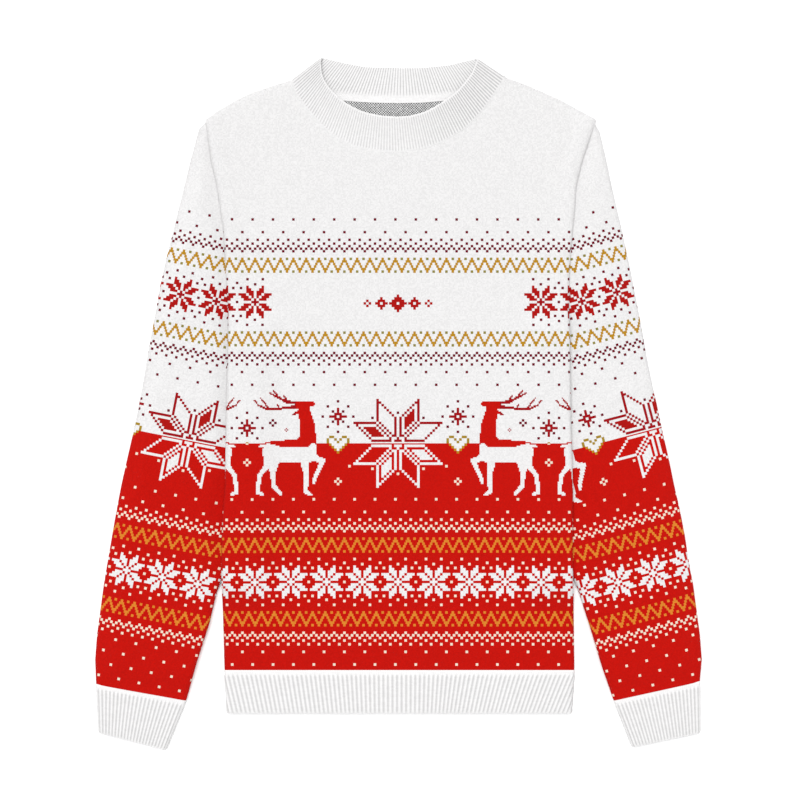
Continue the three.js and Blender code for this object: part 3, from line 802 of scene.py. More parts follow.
@dataclass
class BodyPanel:
    """The front or the back of the body, from the hem band's seam up to the shoulders and the neckband."""

    name: str
    node: str
    front: bool
    centre: Centre
    origin: tuple[float, float] = (-0.525, -41.75)
    cut: tuple[float, float] = (0.425, 0.632)
    cut_area: float = 0.232
    radius: float = 2.95
    tuck: float = 3.0
    back_inset: float = 5.8
    neck_gap: float = 0.4
    seam_lap: float = 0.5
    quarter_turn: float = math.pi / 2 + 0.05
    roll_height: float = 3.3
    loft: float = 0.9
    loft_run: float = 26.0
    span: tuple[float, float, float, float] = (-212, 216, -242, 388)
    weld: float = 0.02

    def upper_edge(self, x: float) -> float:
        """Height along the body of the shoulders and the neck seam at a place across it.

        Args:
            x: the place across.

        Returns:
            The height along.
        """
        if x <= LEFT_SHOULDER[-1][0]:
            return lookup(LEFT_SHOULDER, x)
        if x >= RIGHT_SHOULDER[0][0]:
            return lookup(RIGHT_SHOULDER, x)
        if self.front:
            return lookup(FRONT_NECK_SEAM, x) + self.tuck
        return lookup(BACK_NECK_SEAM, x) - self.neck_gap

    def inset(self, y: float) -> float:
        """How far the back stops short of the body's side, above the underarm, where the sleeve starts."""
        return 0.0 if self.front else self.back_inset * ramp(y, UNDERARM - 12, UNDERARM - 2)

    def _turn(self, y: float) -> float:
        """How far the side edges are folded over: the back's not at all along the armhole."""
        return 1.0 if self.front else 1 - ramp(y, UNDERARM - 14, UNDERARM - 4)

    def _shape(self, a: float, b: float) -> tuple[float, float, float]:
        """Folds a place of the flat cloth over the side and shoulder edges.

        Args:
            a: place across the flat cloth.
            b: place along it.

        Returns:
            x, y and how far the fold has turned down.
        """
        x, y = self.origin[0] + a, self.origin[1] + b
        left, right = lookup(LEFT_EDGE, y) + self.inset(y), lookup(RIGHT_EDGE, y) - self.inset(y)
        turn = self._turn(y)
        drop = 0.0
        r = self.radius
        for edge, sign in ((left, 1.0), (right, -1.0)):
            past = r - sign * (x - edge)
            if past > 0:
                angle = min(past / r, self.quarter_turn)
                x += turn * (edge + sign * (r - r * math.sin(angle)) - x)
                drop = max(drop, turn * r * (1 - math.cos(angle)))
        if abs(x) > SHOULDER_FOLD:
            edge = self.upper_edge(x)
            past = y - (edge - r)
            if past > 0:
                angle = min(past / r, self.quarter_turn)
                y = edge - r + r * math.sin(angle)
                drop = max(drop, r * (1 - math.cos(angle)))
        return x, y, drop

    def inside(self, a: float, b: float) -> float:
        """How far inside the cut edge a place of the flat cloth is.

        Args:
            a: place across the flat cloth.
            b: place along it.

        Returns:
            Millimetres, below 0 outside.
        """
        x, y = self.origin[0] + a, self.origin[1] + b
        turned = TURN_SPARE * self.radius
        side = turned * self._turn(y) - self.inset(y)
        shoulder = turned if abs(x) > NECK_HALF_WIDTH else 0.0
        edge_x = min(max(x, LEFT_SHOULDER[0][0]), RIGHT_SHOULDER[-1][0])
        return min(
            x - lookup(LEFT_EDGE, y) + side, lookup(RIGHT_EDGE, y) + side - x,
            self.upper_edge(edge_x) + shoulder - y, y - HEM_TOP + self.seam_lap,
        )

    def place(self, a: float, b: float) -> Point:
        """Place of a point of the flat cloth on the laid-out sweater.

        Args:
            a: place across the flat cloth.
            b: place along it.

        Returns:
            x, y and z in the part's frame.
        """
        x, y, drop = self._shape(a, b)
        base = body_base(x, y)
        if not self.front:
            return x, y, base + drop
        side = from_side(x, y)
        above = ramp(y, UNDERARM - 24, UNDERARM) * (1 - lift_along(y))
        roll = (1 - ramp(side, 9, 24)) * above * self.roll_height
        below_shoulder = self.upper_edge(x) - y if abs(x) > SHOULDER_FOLD else math.inf
        edge = min(side, below_shoulder, y - HEM_TOP + 4)
        puff = sum(crease.rise(x, y) for crease in BODY_CREASES) + self.loft
        return x, y, base + 2 * self.radius + roll + puff * ramp(edge, 0, self.loft_run) - drop

    def build(self, knit: bpy.types.Material, inner: bpy.types.Material) -> bpy.types.Object:
        """Makes the panel and stands it in for its solid.

        Args:
            knit: the patterned outer face.
            inner: the inner face, with the yarns that float behind.

        Returns:
            The panel.
        """
        mesh = bmesh.new()
        layer = KnitLayer(Chart(self.centre), self.origin, (1.0, 0.0), self.inside, self.place, self.front)
        layer.build(mesh, self.span)
        bmesh.ops.remove_doubles(mesh, verts=mesh.verts, dist=self.weld)
        return lay_cloth(self.name, self.node, mesh, (knit, inner), CLOTH)


@dataclass
class Sleeve:
    """A sleeve as one folded tube, from the armhole down to the cuff's seam."""

    name: str
    node: str
    origin: tuple[float, float]
    across: tuple[float, float]
    outer: Table
    inner: Table
    body_edge: Table
    left: bool
    cut: tuple[float, float] = (0.25, 0.655)
    cut_area: float = 0.129
    radius: float = FOLD_RADIUS
    overhang: float = 4.6
    seam_lap: float = 0.5
    least_radius: float = 0.3
    swell: float = 4.0
    cap_swell: float = 1.4
    dip: float = 1.3
    reach: tuple[float, float, float, float] = (-70.0, 160.0, -300.0, 350.0)
    weld: float = 0.03
    cell: tuple[float, float] = (2.705, 2.679)

    def __post_init__(self) -> None:
        """Turns the sleeve's outline into edges to the left and right of its own pattern."""
        length = math.hypot(*self.across)
        self.across = (self.across[0] / length, self.across[1] / length)
        step = self.overhang if self.left else -self.overhang
        armhole = [(lookup(self.body_edge, y) + step, y) for y in ARMHOLE_HEIGHTS]
        sides = [self._edge(self.outer), self._edge([*armhole, *self.inner])]
        self.edges = sides if self.left else sides[::-1]
        self.underarm = self._local(*armhole[-1])[1]
        self.bottom: Table = sorted([self._local(*self.outer[-1]), self._local(*self.inner[-1])])
        self.top = min(self.edges[0][-1][0], self.edges[1][-1][0])

    def _local(self, x: float, y: float) -> tuple[float, float]:
        """Place of a point of the surface across and along the sleeve's pattern.

        Args:
            x: the point's x in the part's frame.
            y: its y.

        Returns:
            Millimetres across and along.
        """
        dx, dy = x - self.origin[0], y - self.origin[1]
        ax, ay = self.across
        return dx * ax + dy * ay, -dx * ay + dy * ax

    def _edge(self, line: Table) -> list[tuple[float, float]]:
        """An edge of the sleeve as places across it for rising places along it."""
        return sorted((b, a) for a, b in (self._local(x, y) for x, y in line))

    def _turn(self, side: int, b: float) -> float:
        """How far the edge on a side is folded over: not at all along the armhole."""
        inner = (side == 1) == self.left
        return 1 - ramp(b, self.underarm - 14, self.underarm - 2) if inner else 1.0

    def inside(self, a: float, b: float) -> float:
        """How far inside the sleeve's cut edge a place of the flat cloth is.

        Args:
            a: place across the flat cloth.
            b: place along it.

        Returns:
            Millimetres, below 0 outside.
        """
        turned = TURN_SPARE * self.radius
        low = lookup(self.edges[0], b) - turned * self._turn(0, b)
        high = lookup(self.edges[1], b) + turned * self._turn(1, b)
        return min(a - low, high - a, self.top - b, b - lookup(self.bottom, a) + self.seam_lap)

    def _fold(self, a: float, b: float) -> tuple[float, float]:
        """Folds a place of the flat cloth over the sleeve's edges.

        Args:
            a: place across the flat cloth.
            b: place along it.

        Returns:
            The place across the folded sleeve, and how far the fold has turned down.
        """
        low, high = lookup(self.edges[0], b), lookup(self.edges[1], b)
        r = max(self.least_radius, min(self.radius, (high - low) / 2))
        drop = 0.0
        for side, edge, sign in ((0, low, 1.0), (1, high, -1.0)):
            past = r - sign * (a - edge)
            if past > 0:
                turn = self._turn(side, b)
                angle = min(past / r, math.pi / 2)
                a += turn * (edge + sign * (r - r * math.sin(angle)) - a)
                drop = max(drop, turn * self.radius * (1 - math.cos(angle)))
        return a, drop

    def build(self, knit: bpy.types.Material, inner: bpy.types.Material) -> bpy.types.Object:
        """Makes the sleeve and stands it in for its solid.

        Args:
            knit: the patterned outer face.
            inner: the inner face, with the yarns that float behind.

        Returns:
            The sleeve.
        """
        mesh = bmesh.new()
        chart = Chart(Centre.STARS)

        def top(a: float, b: float) -> Point:
            """Place of a point of the sleeve's upper layer.

            Args:
                a: place across the flat cloth.
                b: place along it.

            Returns:
                x, y and z in the part's frame.
            """
            folded, drop = self._fold(a, b)
            x, y = upper.plan(folded, b)
            low, high = lookup(self.edges[0], b), lookup(self.edges[1], b)
            outer = folded - low if self.left else high - folded
            body = (lookup(self.body_edge, y) - x) * (1 if self.left else -1)
            cap = ramp(y, 60, 120)
            swell = self.swell + self.cap_swell * cap + sum(crease.rise(x, y) for crease in SLEEVE_CREASES)
            end = ramp(b - lookup(self.bottom, folded), 2, 30)
            puff = swell * ramp(outer, 0, 22) * ramp(body, 0, 20) * (0.25 + 0.75 * end)
            dip = self.dip * (1 - ramp(body, 0, 9)) * ramp(y, -120, -20) * ramp(outer, 6, 16)
            return x, y, TUBE_HEIGHT + puff - dip - drop

        def under(a: float, b: float) -> Point:
            """Place of a point of the sleeve's lower layer.

            Args:
                a: place across the flat cloth.
                b: place along it.

            Returns:
                x, y and z in the part's frame.
            """
            folded, drop = self._fold(a, b)
            x, y = lower.plan(folded, b)
            return x, y, drop

        upper = KnitLayer(chart, self.origin, self.across, self.inside, top, True, self.cell)
        lower = KnitLayer(chart, self.origin, self.across, self.inside, under, False, self.cell)
        span = self.reach if self.left else (-self.reach[1], -self.reach[0], *self.reach[2:])
        upper.build(mesh, span)
        lower.build(mesh, span)
        bmesh.ops.remove_doubles(mesh, verts=mesh.verts, dist=self.weld)
        return lay_cloth(self.name, self.node, mesh, (knit, inner), CLOTH)


@dataclass
class RibBand:
    """A ribbed band as a flattened ring: the hem band or a cuff."""

    name: str
    node: str
    seam_left: tuple[float, float]
    seam_right: tuple[float, float]
    free_left: tuple[float, float]
    free_right: tuple[float, float]
    ribs: int
    lean_left: float = 0.0
    lean_right: float = 0.0
    rib_height: float = 0.95
    per_rib: int = 6
    radius: float = FOLD_RADIUS
    linking: float = 4.6
    linking_height: float = 0.55
    # Strength of the painted shade in the rib furrows
    furrow_shade: float = 0.75
    row_height: float = CELL_HEIGHT / 1.6
    cut: tuple[float, float] = (0.75, 0.046)

    def _width(self, t: float) -> tuple[tuple[float, float], tuple[float, float], float]:
        """Middle, direction and width of the band across it.

        Args:
            t: share of the band's depth, from its seam.

        Returns:
            The middle, the direction to the right as a unit, and the width.
        """
        left = [p + (q - p) * t for p, q in zip(self.seam_left, self.free_left)]
        right = [p + (q - p) * t for p, q in zip(self.seam_right, self.free_right)]
        width = math.dist(left, right)
        middle = ((left[0] + right[0]) / 2, (left[1] + right[1]) / 2)
        return middle, ((right[0] - left[0]) / width, (right[1] - left[1]) / width), width

    def _ring(self, s: float, width: float, rise: float) -> tuple[float, float]:
        """Point of the flattened ring at a distance round it from the middle of its upper face.

        Args:
            s: millimetres round the ring, below 0 to the left.
            width: the band's width there.
            rise: how far the point stands out of the ring.

        Returns:
            Place across the band, and height.
        """
        r = self.radius
        flat = width / 2 - r
        sign = math.copysign(1.0, s)
        past = abs(s) - flat
        if past <= 0:
            return s, 2 * r + rise
        if past <= math.pi * r:
            angle = past / r
            return sign * (flat + (r + rise) * math.sin(angle)), r + (r + rise) * math.cos(angle)
        return sign * max(0.0, flat - (past - math.pi * r)), -rise

    def build(self, rib: bpy.types.Material) -> bpy.types.Object:
        """Makes the band and stands it in for its solid.

        Args:
            rib: the ribbed knit's finish.

        Returns:
            The band.
        """
        mesh = bmesh.new()
        mesh.loops.layers.uv.new("Stitches")
        # Each vertex carries how strong the painted shade in the furrows is there
        furrow_shade_layer = mesh.verts.layers.float.new("FurrowShade")
        depth = math.dist(
            [(a + b) / 2 for a, b in zip(self.seam_left, self.seam_right)],
            [(a + b) / 2 for a, b in zip(self.free_left, self.free_right)],
        )
        steps = [0, 0.8, 1.8, 2.8, 3.8, self.linking, 5.6, 7, 10]
        steps += [10 + (depth - 13) * k / 5 for k in range(1, 6)] + [depth - 1.6, depth - 0.7, depth]
        columns = 2 * self.ribs * self.per_rib
        rings = []
        for d in steps:
            t = d / depth
            middle, along, width = self._width(t)
            half = width - 2 * self.radius + math.pi * self.radius
            ribbed = ramp(d, self.linking - 0.6, self.linking + 1.6)
            strip = self.linking_height * math.sin(math.pi * min(1.0, d / self.linking)) ** 0.7 * (1 - ribbed)
            bound = ramp(d, depth - 0.1, depth - 2.2)
            ring = []
            for k in range(columns):
                s = -half + 2 * half * k / columns
                lean = self.lean_left if s < 0 else self.lean_right
                s *= 1 - lean * t * (1 - (abs(s) / half) ** 3) * ramp(abs(s), 0, 70)
                wave = 0.5 + 0.5 * math.cos(2 * math.pi * k / self.per_rib)
                rise = self.rib_height * (wave ** 0.8 * ribbed) * (0.4 + 0.6 * bound)
                rise = rise + strip - 0.25 * (1 - bound)
                a, z = self._ring(s, width, rise)
                vert = mesh.verts.new((middle[0] + a * along[0], middle[1] + a * along[1], max(z, 0.0)))
                # Painted furrow shade: only where ribbed, and weaker at the free edge
                vert[furrow_shade_layer] = self.furrow_shade * ribbed * (0.35 + 0.65 * bound)
                ring.append(vert)
            rings.append(ring)
        join_rings(mesh, rings, self.per_rib, [-d / self.row_height for d in steps], True)
        return lay_cloth(self.name, self.node, mesh, (rib,), RIB_CLOTH)


@dataclass
class NeckBand:
    """The ribbed neckband: its front half arches over the opening, and its back half shows its inside."""

    name: str = "neckband_knit"
    node: str = "neckband"
    front_ribs: int = 92
    back_ribs: int = 66
    per_rib: int = 6
    rib_height: float = 0.8
    back_rib_height: float = 0.12
    stitch_rows: int = 22
    radius: float = FOLD_RADIUS
    cut: tuple[float, float] = (0.52, 0.043)

    @staticmethod
    def _along(line: Table, t: float) -> tuple[float, float]:
        """Point at a share of a line's length.

        Args:
            line: the line's points in plan.
            t: share of its length.

        Returns:
            x and y of the point.
        """
        lengths = [math.dist(p, q) for p, q in zip(line, line[1:])]
        reach = t * sum(lengths)
        for (p, q), length in zip(zip(line, line[1:]), lengths):
            if reach <= length:
                return p[0] + (q[0] - p[0]) * reach / length, p[1] + (q[1] - p[1]) * reach / length
            reach -= length
        return line[-1]

    @staticmethod
    def _furrow_shade_strength(t: float, front: bool) -> float:
        """Strength of the painted shade in the furrows: on the front most at the right and least at its lower left,
        on the back most at its ends.

        Args:
            t: share of the half's length.
            front: whether it is the front half.

        Returns:
            How dark the painted furrow shade is, about 1 at most.
        """
        if not front:
            return 0.85 + 0.35 * abs(2 * t - 1)
        return 0.45 + 0.3 * (1 - ramp(t, 0.0, 0.25)) + 0.55 * ramp(t, 0.5, 0.85)

    def _rise(self, t: float, share: float) -> float:
        """How far the front half stands above its seam, at a share of its length and of its depth."""
        seam = 0.7 * (1 - share) * ramp(t, 0.5, 0.75) * (1 - ramp(t, 0.93, 1.0))
        return share * (0.8 + 2.2 * math.sin(math.pi * t)) + seam

    def build(self, rib: bpy.types.Material) -> bpy.types.Object:
        """Makes the neckband and stands it in for its solid.

        Args:
            rib: the ribbed knit's finish.

        Returns:
            The neckband.
        """
        mesh = bmesh.new()
        mesh.loops.layers.uv.new("Stitches")
        # Each vertex carries how strong the painted shade in the furrows is there
        furrow_shade_layer = mesh.verts.layers.float.new("FurrowShade")
        shares = (0, 0.025, 0.05, 0.075, 0.11, 0.16, 0.2, 0.25, 0.3,
                  0.4, 0.5, 0.65, 0.8, 0.9, 0.935, 0.965, 0.985, 1)
        halves = (
            (FRONT_NECK_SEAM, FRONT_NECK_EDGE, self.front_ribs * self.per_rib, True),
            (BACK_NECK_SEAM[::-1], BACK_NECK_EDGE[::-1], self.back_ribs * self.per_rib, False),
        )
        rings = []
        for share in shares:
            ring = []
            for seam, edge, count, front in halves:
                start, end = self._along(seam, 0.0), self._along(seam, 1.0)
                free_start, free_end = self._along(edge, 0.0), self._along(edge, 1.0)
                tips = [
                    (p[0] + (q[0] - p[0]) * share, p[1] + (q[1] - p[1]) * share)
                    for p, q in ((start, free_start), (end, free_end))
                ]
                for k in range(count):
                    t = k / count
                    p, q = self._along(seam, t), self._along(edge, t)
                    x, y = p[0] + (q[0] - p[0]) * share, p[1] + (q[1] - p[1]) * share
                    near = min(math.dist((x, y), tip) for tip in tips)
                    r = self.radius
                    drop = r - math.sqrt(max(0.0, r * r - max(0.0, r - near) ** 2))
                    if front:
                        ribbed = ramp(share, 0.02, 0.06) * (1 - ramp(share, 0.93, 0.98))
                    else:
                        ribbed = ramp(share, 0.16, 0.3)
                    wave = 0.5 + 0.5 * math.cos(2 * math.pi * k / self.per_rib)
                    strip = 0.4 * math.sin(math.pi * min(1.0, share / (0.06 if front else 0.2))) ** 0.7
                    lip = 0.3 * math.sin(math.pi * min(1.0, max(0.0, (share - 0.93) / 0.07)))
                    rise = self.rib_height * wave * ribbed + strip + lip
                    fade = ramp(near, 0.2, 4)
                    if front:
                        z = 2 * r + self._rise(t, share) * fade + rise - drop
                    else:
                        z = 0.1 + drop + self.back_rib_height * wave * ribbed * fade
                    vert = mesh.verts.new((x, y, max(0.0, z)))
                    # Painted furrow shade; the back half has little relief, so its ribs show mostly by this
                    vert[furrow_shade_layer] = ribbed * self._furrow_shade_strength(t, front)
                    ring.append(vert)
            rings.append(ring)
        join_rings(mesh, rings, self.per_rib, [share * self.stitch_rows for share in shares], False)
        return lay_cloth(self.name, self.node, mesh, (rib,), RIB_CLOTH)


def add_node(tree: bpy.types.NodeTree, kind: str, settings: dict | None = None,
             links: dict | None = None) -> bpy.types.Node:
    """Adds a node to a tree.

    Args:
        tree: the material's node tree.
        kind: the node's type.
        settings: its properties, or values of its inputs by name or number.
        links: for an input's name or number, the output that feeds it.

    Returns:
        The node.
    """
    node = tree.nodes.new(kind)
    for key, value in (settings or {}).items():
        if isinstance(key, str) and hasattr(node, key):
            setattr(node, key, value)
        else:
            node.inputs[key].default_value = value
    for key, output in (links or {}).items():
        tree.links.new(output, node.inputs[key])
    return node


def sum_of(tree: bpy.types.NodeTree, operation: str, first: object, second: object = 0.0,
           third: object = 0.0) -> bpy.types.NodeSocket:
    """Result of a sum on numbers or outputs.

    Args:
        tree: the material's node tree.
        operation: the sum, as Blender names it.
        first: a number or an output.
        second: a number or an output.
        third: a number or an output.

    Returns:
        The output with the result.
    """
    settings: dict = {"operation": operation}
    links: dict = {}
    for index, value in enumerate((first, second, third)):
        if isinstance(value, bpy.types.NodeSocket):
            links[index] = value
        else:
            settings[index] = value
    return add_node(tree, "ShaderNodeMath", settings, links).outputs[0]


@dataclass(frozen=True)
class KnitFinish:
    """A soft matt yarn, knitted: legs of stitches stand out, with painted shade in the grooves between them, and
    fibres break up the light.
    """

    name: str
    roughness: float = 0.95
    sheen: float = 0.015
    sheen_roughness: float = 0.6
    specular: float = 0.07
    stitch_depth: float = 0.3
    fibre_depth: float = 0.1
    # Share of colour taken off in the grooves between stitch legs: painted shade
    groove_shade: float = 0.1
    speckle: float = 0.12

    def _start(self) -> tuple[bpy.types.Material, bpy.types.NodeTree, bpy.types.Node]:
        """New material with its tree and its shader.

        Returns:
            The material, its node tree and the shader.
        """
        material = bpy.data.materials.new(self.name)
        material.use_nodes = True
        tree = material.node_tree
        tree.nodes.clear()
        shader = add_node(tree, "ShaderNodeBsdfPrincipled", {
            "Roughness": self.roughness, "Sheen Weight": self.sheen,
            "Sheen Roughness": self.sheen_roughness, "Specular IOR Level": self.specular,
        })
        add_node(tree, "ShaderNodeOutputMaterial", links={"Surface": shader.outputs[0]})
        return material, tree, shader

    def _map(self, tree: bpy.types.NodeTree) -> tuple[bpy.types.NodeSocket, bpy.types.NodeSocket]:
        """The stitch map, with one stitch to a unit.

        Args:
            tree: the material's node tree.

        Returns:
            Outputs with the column and the row.
        """
        uv = add_node(tree, "ShaderNodeUVMap", {"uv_map": "Stitches"}).outputs[0]
        parts = add_node(tree, "ShaderNodeSeparateXYZ", links={0: uv}).outputs
        return parts[0], parts[1]

    def _legs(self, tree: bpy.types.NodeTree, column: object, row: object,
              lean: float = 0.9) -> bpy.types.NodeSocket:
        """Height of the stitches' legs, from 0 in the grooves to 1.

        Args:
            tree: the material's node tree.
            column: output with the stitch column.
            row: output with the stitch row.
            lean: how far a leg rises over its width.

        Returns:
            The height.
        """
        offset = sum_of(tree, "ABSOLUTE", sum_of(tree, "SUBTRACT", sum_of(tree, "FRACT", column), 0.5))
        leg = sum_of(tree, "SINE", sum_of(tree, "MULTIPLY", offset, 2 * math.pi))
        phase = sum_of(tree, "FRACT", sum_of(tree, "SUBTRACT", row, sum_of(tree, "MULTIPLY", offset, lean)))
        bulge = sum_of(tree, "SINE", sum_of(tree, "MULTIPLY", phase, math.pi))
        return sum_of(tree, "MULTIPLY", leg, sum_of(tree, "MULTIPLY_ADD", bulge, 0.6, 0.4))

    def _relief(self, tree: bpy.types.NodeTree, shader: bpy.types.Node, height: bpy.types.NodeSocket,
                fibre: bpy.types.NodeSocket) -> None:
        """Raises the stitches and the fibres on the shader's surface.

        Args:
            tree: the material's node tree.
            shader: its shader.
            height: output with the stitches' height, from 0 to 1.
            fibre: output with the fibres' unevenness.
        """
        total = sum_of(tree, "MULTIPLY_ADD", fibre, self.fibre_depth / self.stitch_depth, height)
        bump = add_node(tree, "ShaderNodeBump", {
            "Strength": 1.0, "Distance": self.stitch_depth * MM,
        }, {"Height": total})
        tree.links.new(bump.outputs[0], shader.inputs["Normal"])

    def _fibre(self, tree: bpy.types.NodeTree, size: float = 0.5) -> bpy.types.NodeSocket:
        """Fine unevenness of the yarn's fibres.

        Args:
            tree: the material's node tree.
            size: its size in millimetres.

        Returns:
            Output from 0 to 1.
        """
        place = add_node(tree, "ShaderNodeTexCoord").outputs["Object"]
        return add_node(tree, "ShaderNodeTexNoise", {
            "Scale": 1 / (size * MM), "Detail": 2.0, "Roughness": 0.6,
        }, {"Vector": place}).outputs[0]

    def _uneven(self, tree: bpy.types.NodeTree, column: object, row: object) -> bpy.types.NodeSocket:
        """A number for each stitch, because no two loops of yarn lie the same.

        Args:
            tree: the material's node tree.
            column: output with the stitch column.
            row: output with the stitch row.

        Returns:
            Output from 0 to 1.
        """
        whole = add_node(tree, "ShaderNodeCombineXYZ", links={
            0: sum_of(tree, "FLOOR", column), 1: sum_of(tree, "FLOOR", row),
        }).outputs[0]
        return add_node(tree, "ShaderNodeTexWhiteNoise", {"noise_dimensions": "2D"}, {0: whole}).outputs[0]

    def _shade(self, tree: bpy.types.NodeTree, colour: object,
               *depths: tuple[bpy.types.NodeSocket, float]) -> bpy.types.NodeSocket:
        """Colour of the yarn, with painted shade where it lies deep and a random tone for each stitch and fibre.

        Args:
            tree: the material's node tree.
            colour: the yarn's colour, as an output or as linear numbers.
            depths: outputs from 0, deep or dark, to 1, each with the share of colour taken off at 0: painted shade
                for the stitches' and ribs' depths, a random tone for fibres and stitches.

        Returns:
            The shaded colour.
        """
        shade: object = 1.0
        for height, loss in depths:
            shade = sum_of(tree, "MULTIPLY", shade, sum_of(tree, "MULTIPLY_ADD", height, loss, 1 - loss))
        settings: dict = {"operation": "SCALE"}
        links: dict = {"Scale": shade}
        if isinstance(colour, bpy.types.NodeSocket):
            links[0] = colour
        else:
            settings[0] = colour[:3]
        return add_node(tree, "ShaderNodeVectorMath", settings, links).outputs[0]


@dataclass(frozen=True)
class JacquardKnit(KnitFinish):
    """Jacquard knit's right side: small V stitches of matt yarn, each in its own colour."""

    def build(self) -> bpy.types.Material:
        """Makes the material, which reads each stitch's colour from the piece.

        Returns:
            The material.
        """
        material, tree, shader = self._start()
        yarn = add_node(tree, "ShaderNodeAttribute", {"attribute_name": "Yarn"}).outputs["Color"]
        column, row = self._map(tree)
        height = self._legs(tree, column, row)
        fibre = self._fibre(tree)
        uneven = self._uneven(tree, column, row)
        # Painted shade in the grooves between stitch legs; fibres and stitches vary at random in tone
        shade = self._shade(tree, yarn, (height, self.groove_shade), (fibre, 0.06), (uneven, self.speckle))
        tree.links.new(shade, shader.inputs["Base Color"])
        self._relief(tree, shader, height, fibre)
        return material


@dataclass(frozen=True)
class BirdseyeBacking(KnitFinish):
    """Jacquard knit's wrong side, where a dark and a white yarn change places at each stitch."""

    dark: str = "#434343"
    light: str = "#f6f6f6"

    def build(self) -> bpy.types.Material:
        """Makes the material, with dark stitches on every second place.

        Returns:
            The material.
        """
        material, tree, shader = self._start()
        column, row = self._map(tree)
        height = self._legs(tree, column, row, 0.0)
        places = sum_of(tree, "ADD", sum_of(tree, "FLOOR", column), sum_of(tree, "FLOOR", row))
        odd = sum_of(tree, "FLOORED_MODULO", places, 2.0)
        mixed = add_node(tree, "ShaderNodeMix", {
            "data_type": "RGBA", 6: linear(self.light), 7: linear(self.dark),
        }, {0: odd}).outputs[2]
        fibre = self._fibre(tree)
        uneven = self._uneven(tree, column, row)
        # Painted shade in the grooves between stitch legs; stitches vary at random in tone
        shade = self._shade(tree, mixed, (height, self.groove_shade), (uneven, 0.3))
        tree.links.new(shade, shader.inputs["Base Color"])
        self._relief(tree, shader, height, fibre)
        return material


@dataclass(frozen=True)
class RibKnit(KnitFinish):
    """One-by-one rib in white yarn: upright columns of stitches, with painted shade in the furrows between them."""

    colour: str = "#e2e1e1"
    # Share of colour taken off at the bottom of a furrow: painted shade
    furrow_shade: float = 0.34

    def build(self) -> bpy.types.Material:
        """Makes the material. The map has one rib to a unit, and its crest at whole numbers.

        Returns:
            The material.
        """
        material, tree, shader = self._start()
        column, row = self._map(tree)
        height = self._legs(tree, sum_of(tree, "ADD", column, 0.5), row, 0.7)
        # Painted shade in the furrows: darkest midway between crests, as strong as each vertex's furrow-shade value
        turn = sum_of(tree, "MULTIPLY", column, 2 * math.pi)
        crest = sum_of(tree, "MULTIPLY_ADD", sum_of(tree, "COSINE", turn), 0.5, 0.5)
        ribbed = add_node(tree, "ShaderNodeAttribute", {"attribute_name": "FurrowShade"}).outputs["Fac"]
        furrow_darkening = sum_of(tree, "MULTIPLY", sum_of(tree, "SUBTRACT", 1.0, crest), ribbed)
        level = sum_of(tree, "SUBTRACT", 1.0, furrow_darkening)
        fibre = self._fibre(tree)
        uneven = self._uneven(tree, column, row)
        # Painted shade in the furrows and in the grooves between stitch legs; stitches vary at random in tone
        shade = self._shade(tree, linear(self.colour), (level, self.furrow_shade), (height, 0.05), (uneven, 0.06))
        tree.links.new(shade, shader.inputs["Base Color"])
        self._relief(tree, shader, height, fibre)
        return material


@dataclass(frozen=True)
class StudioPaper:
    """Matt white background paper."""

    name: str = "white studio paper"
    colour: str = "#f8f8f8"

    def build(self) -> bpy.types.Material:
        """Makes the material.

        Returns:
            The material.
        """
        material = bpy.data.materials.new(self.name)
        material.use_nodes = True
        shader = material.node_tree.nodes["Principled BSDF"]
        shader.inputs["Base Color"].default_value = linear(self.colour)
        shader.inputs["Roughness"].default_value = 1.0
        shader.inputs["Specular IOR Level"].default_value = 0.0
        return material


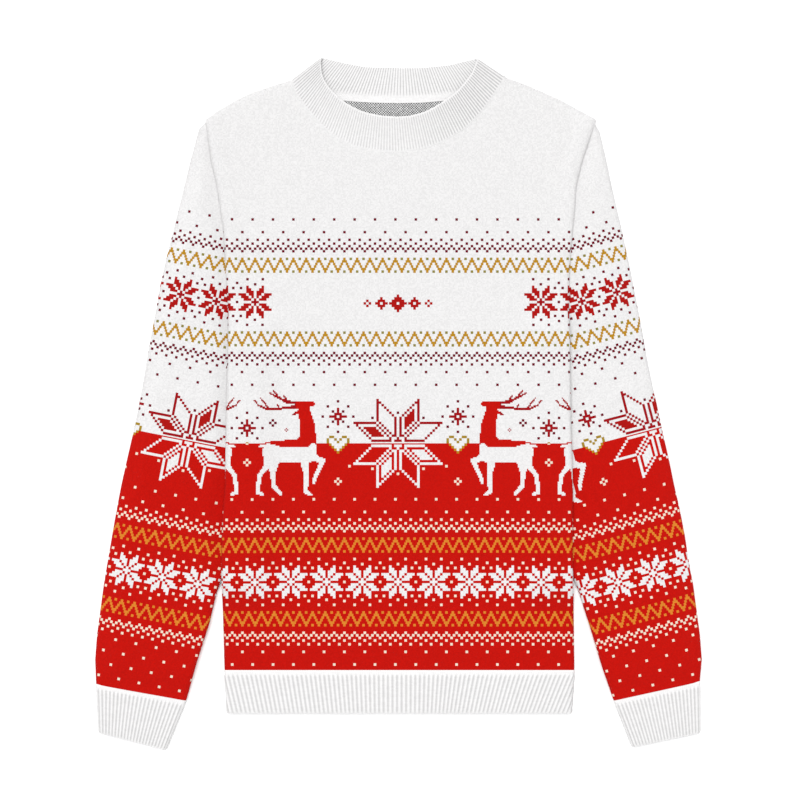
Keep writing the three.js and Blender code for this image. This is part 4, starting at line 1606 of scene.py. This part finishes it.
@dataclass
class Studio:
    """The paper floor, the soft light and the camera straight above."""

    floor_size: float = 9.0
    floor_drop: float = 0.4
    focal: float = 100.0
    sensor: float = 36.0
    seen_width: float = 840.0
    centre: tuple[float, float] = (1.6, 3.7)
    surface: float = 7.0
    sky: float = 0.62
    lamp_power: float = 2.78
    lamp_spread: float = 50.0
    lamp_tilt: tuple[float, float] = (-17.0, -6.0)

    def build(self) -> None:
        """Makes the floor, the lights and the camera."""
        bpy.ops.object.select_all(action="DESELECT")
        bpy.ops.mesh.primitive_plane_add(size=self.floor_size, location=(0, 0, -self.floor_drop * MM))
        floor = bpy.context.active_object
        floor.name = "floor"
        floor.data.materials.append(StudioPaper().build())
        world = bpy.data.worlds.new("studio")
        world.use_nodes = True
        world.node_tree.nodes["Background"].inputs[0].default_value = (1, 1, 1, 1)
        world.node_tree.nodes["Background"].inputs[1].default_value = self.sky
        bpy.context.scene.world = world
        lamp_data = bpy.data.lights.new("softbox", "SUN")
        lamp_data.angle = math.radians(self.lamp_spread)
        lamp_data.energy = self.lamp_power
        lamp = bpy.data.objects.new("softbox", lamp_data)
        lamp.rotation_euler = (math.radians(self.lamp_tilt[0]), math.radians(self.lamp_tilt[1]), 0)
        bpy.context.scene.collection.objects.link(lamp)
        camera_data = bpy.data.cameras.new("camera")
        camera_data.sensor_width = self.sensor
        camera_data.lens = self.focal
        camera = bpy.data.objects.new("camera", camera_data)
        height = self.seen_width * self.focal / self.sensor + self.surface
        camera.location = (self.centre[0] * MM, self.centre[1] * MM, height * MM)
        bpy.context.scene.collection.objects.link(camera)
        bpy.context.scene.camera = camera
        bpy.context.scene.view_settings.view_transform = "Standard"


def main() -> None:
    """Builds the studio, the finishes and the sweater's pieces in order, each standing in for its solid."""
    logging.basicConfig(level=logging.INFO, format="%(name)s: %(message)s")
    Studio().build()
    jacquard = JacquardKnit("stranded jacquard knit").build()
    backing = BirdseyeBacking("birdseye backing of the knit").build()
    rib = RibKnit("white one-by-one rib knit").build()
    back = BodyPanel("back_knit", "back_panel", False, Centre.STARS)
    front = BodyPanel("front_knit", "front_panel", True, Centre.LOZENGES)
    left = Sleeve("sleeve_left_knit", "sleeve_left", (-219.7, -38.8), (0.9812, -0.1928),
                  LEFT_SLEEVE_OUTER, LEFT_SLEEVE_INNER, LEFT_EDGE, True)
    right = Sleeve("sleeve_right_knit", "sleeve_right", (266.5, -27.0), (0.9671, 0.2536),
                   RIGHT_SLEEVE_OUTER, RIGHT_SLEEVE_INNER, RIGHT_EDGE, False)
    for part in (back, left, right, front):
        piece = part.build(jacquard, backing)
        log.info("%s: %d faces", piece.name, len(piece.data.polygons))
    hem = RibBand("hem_band_knit", "hem_band", (-183, HEM_TOP), (185, HEM_TOP),
                  (-180, HEM_BOTTOM), (182, HEM_BOTTOM), 77, 0.05, 0.1)
    cuff_left = RibBand("cuff_left_knit", "cuff_left", (-318, -294.5), (-223, -311.5),
                        (-315, -346), (-245, -364), 23, cut=(0.18, 0.051))
    cuff_right = RibBand("cuff_right_knit", "cuff_right", (226, -311.5), (317, -291.5),
                         (246, -361), (317, -346), 23, cut=(0.18, 0.051))
    for band in (hem, cuff_left, cuff_right, NeckBand()):
        piece = band.build(rib)
        log.info("%s: %d faces", piece.name, len(piece.data.polygons))


if __name__ == "__main__":
    main()
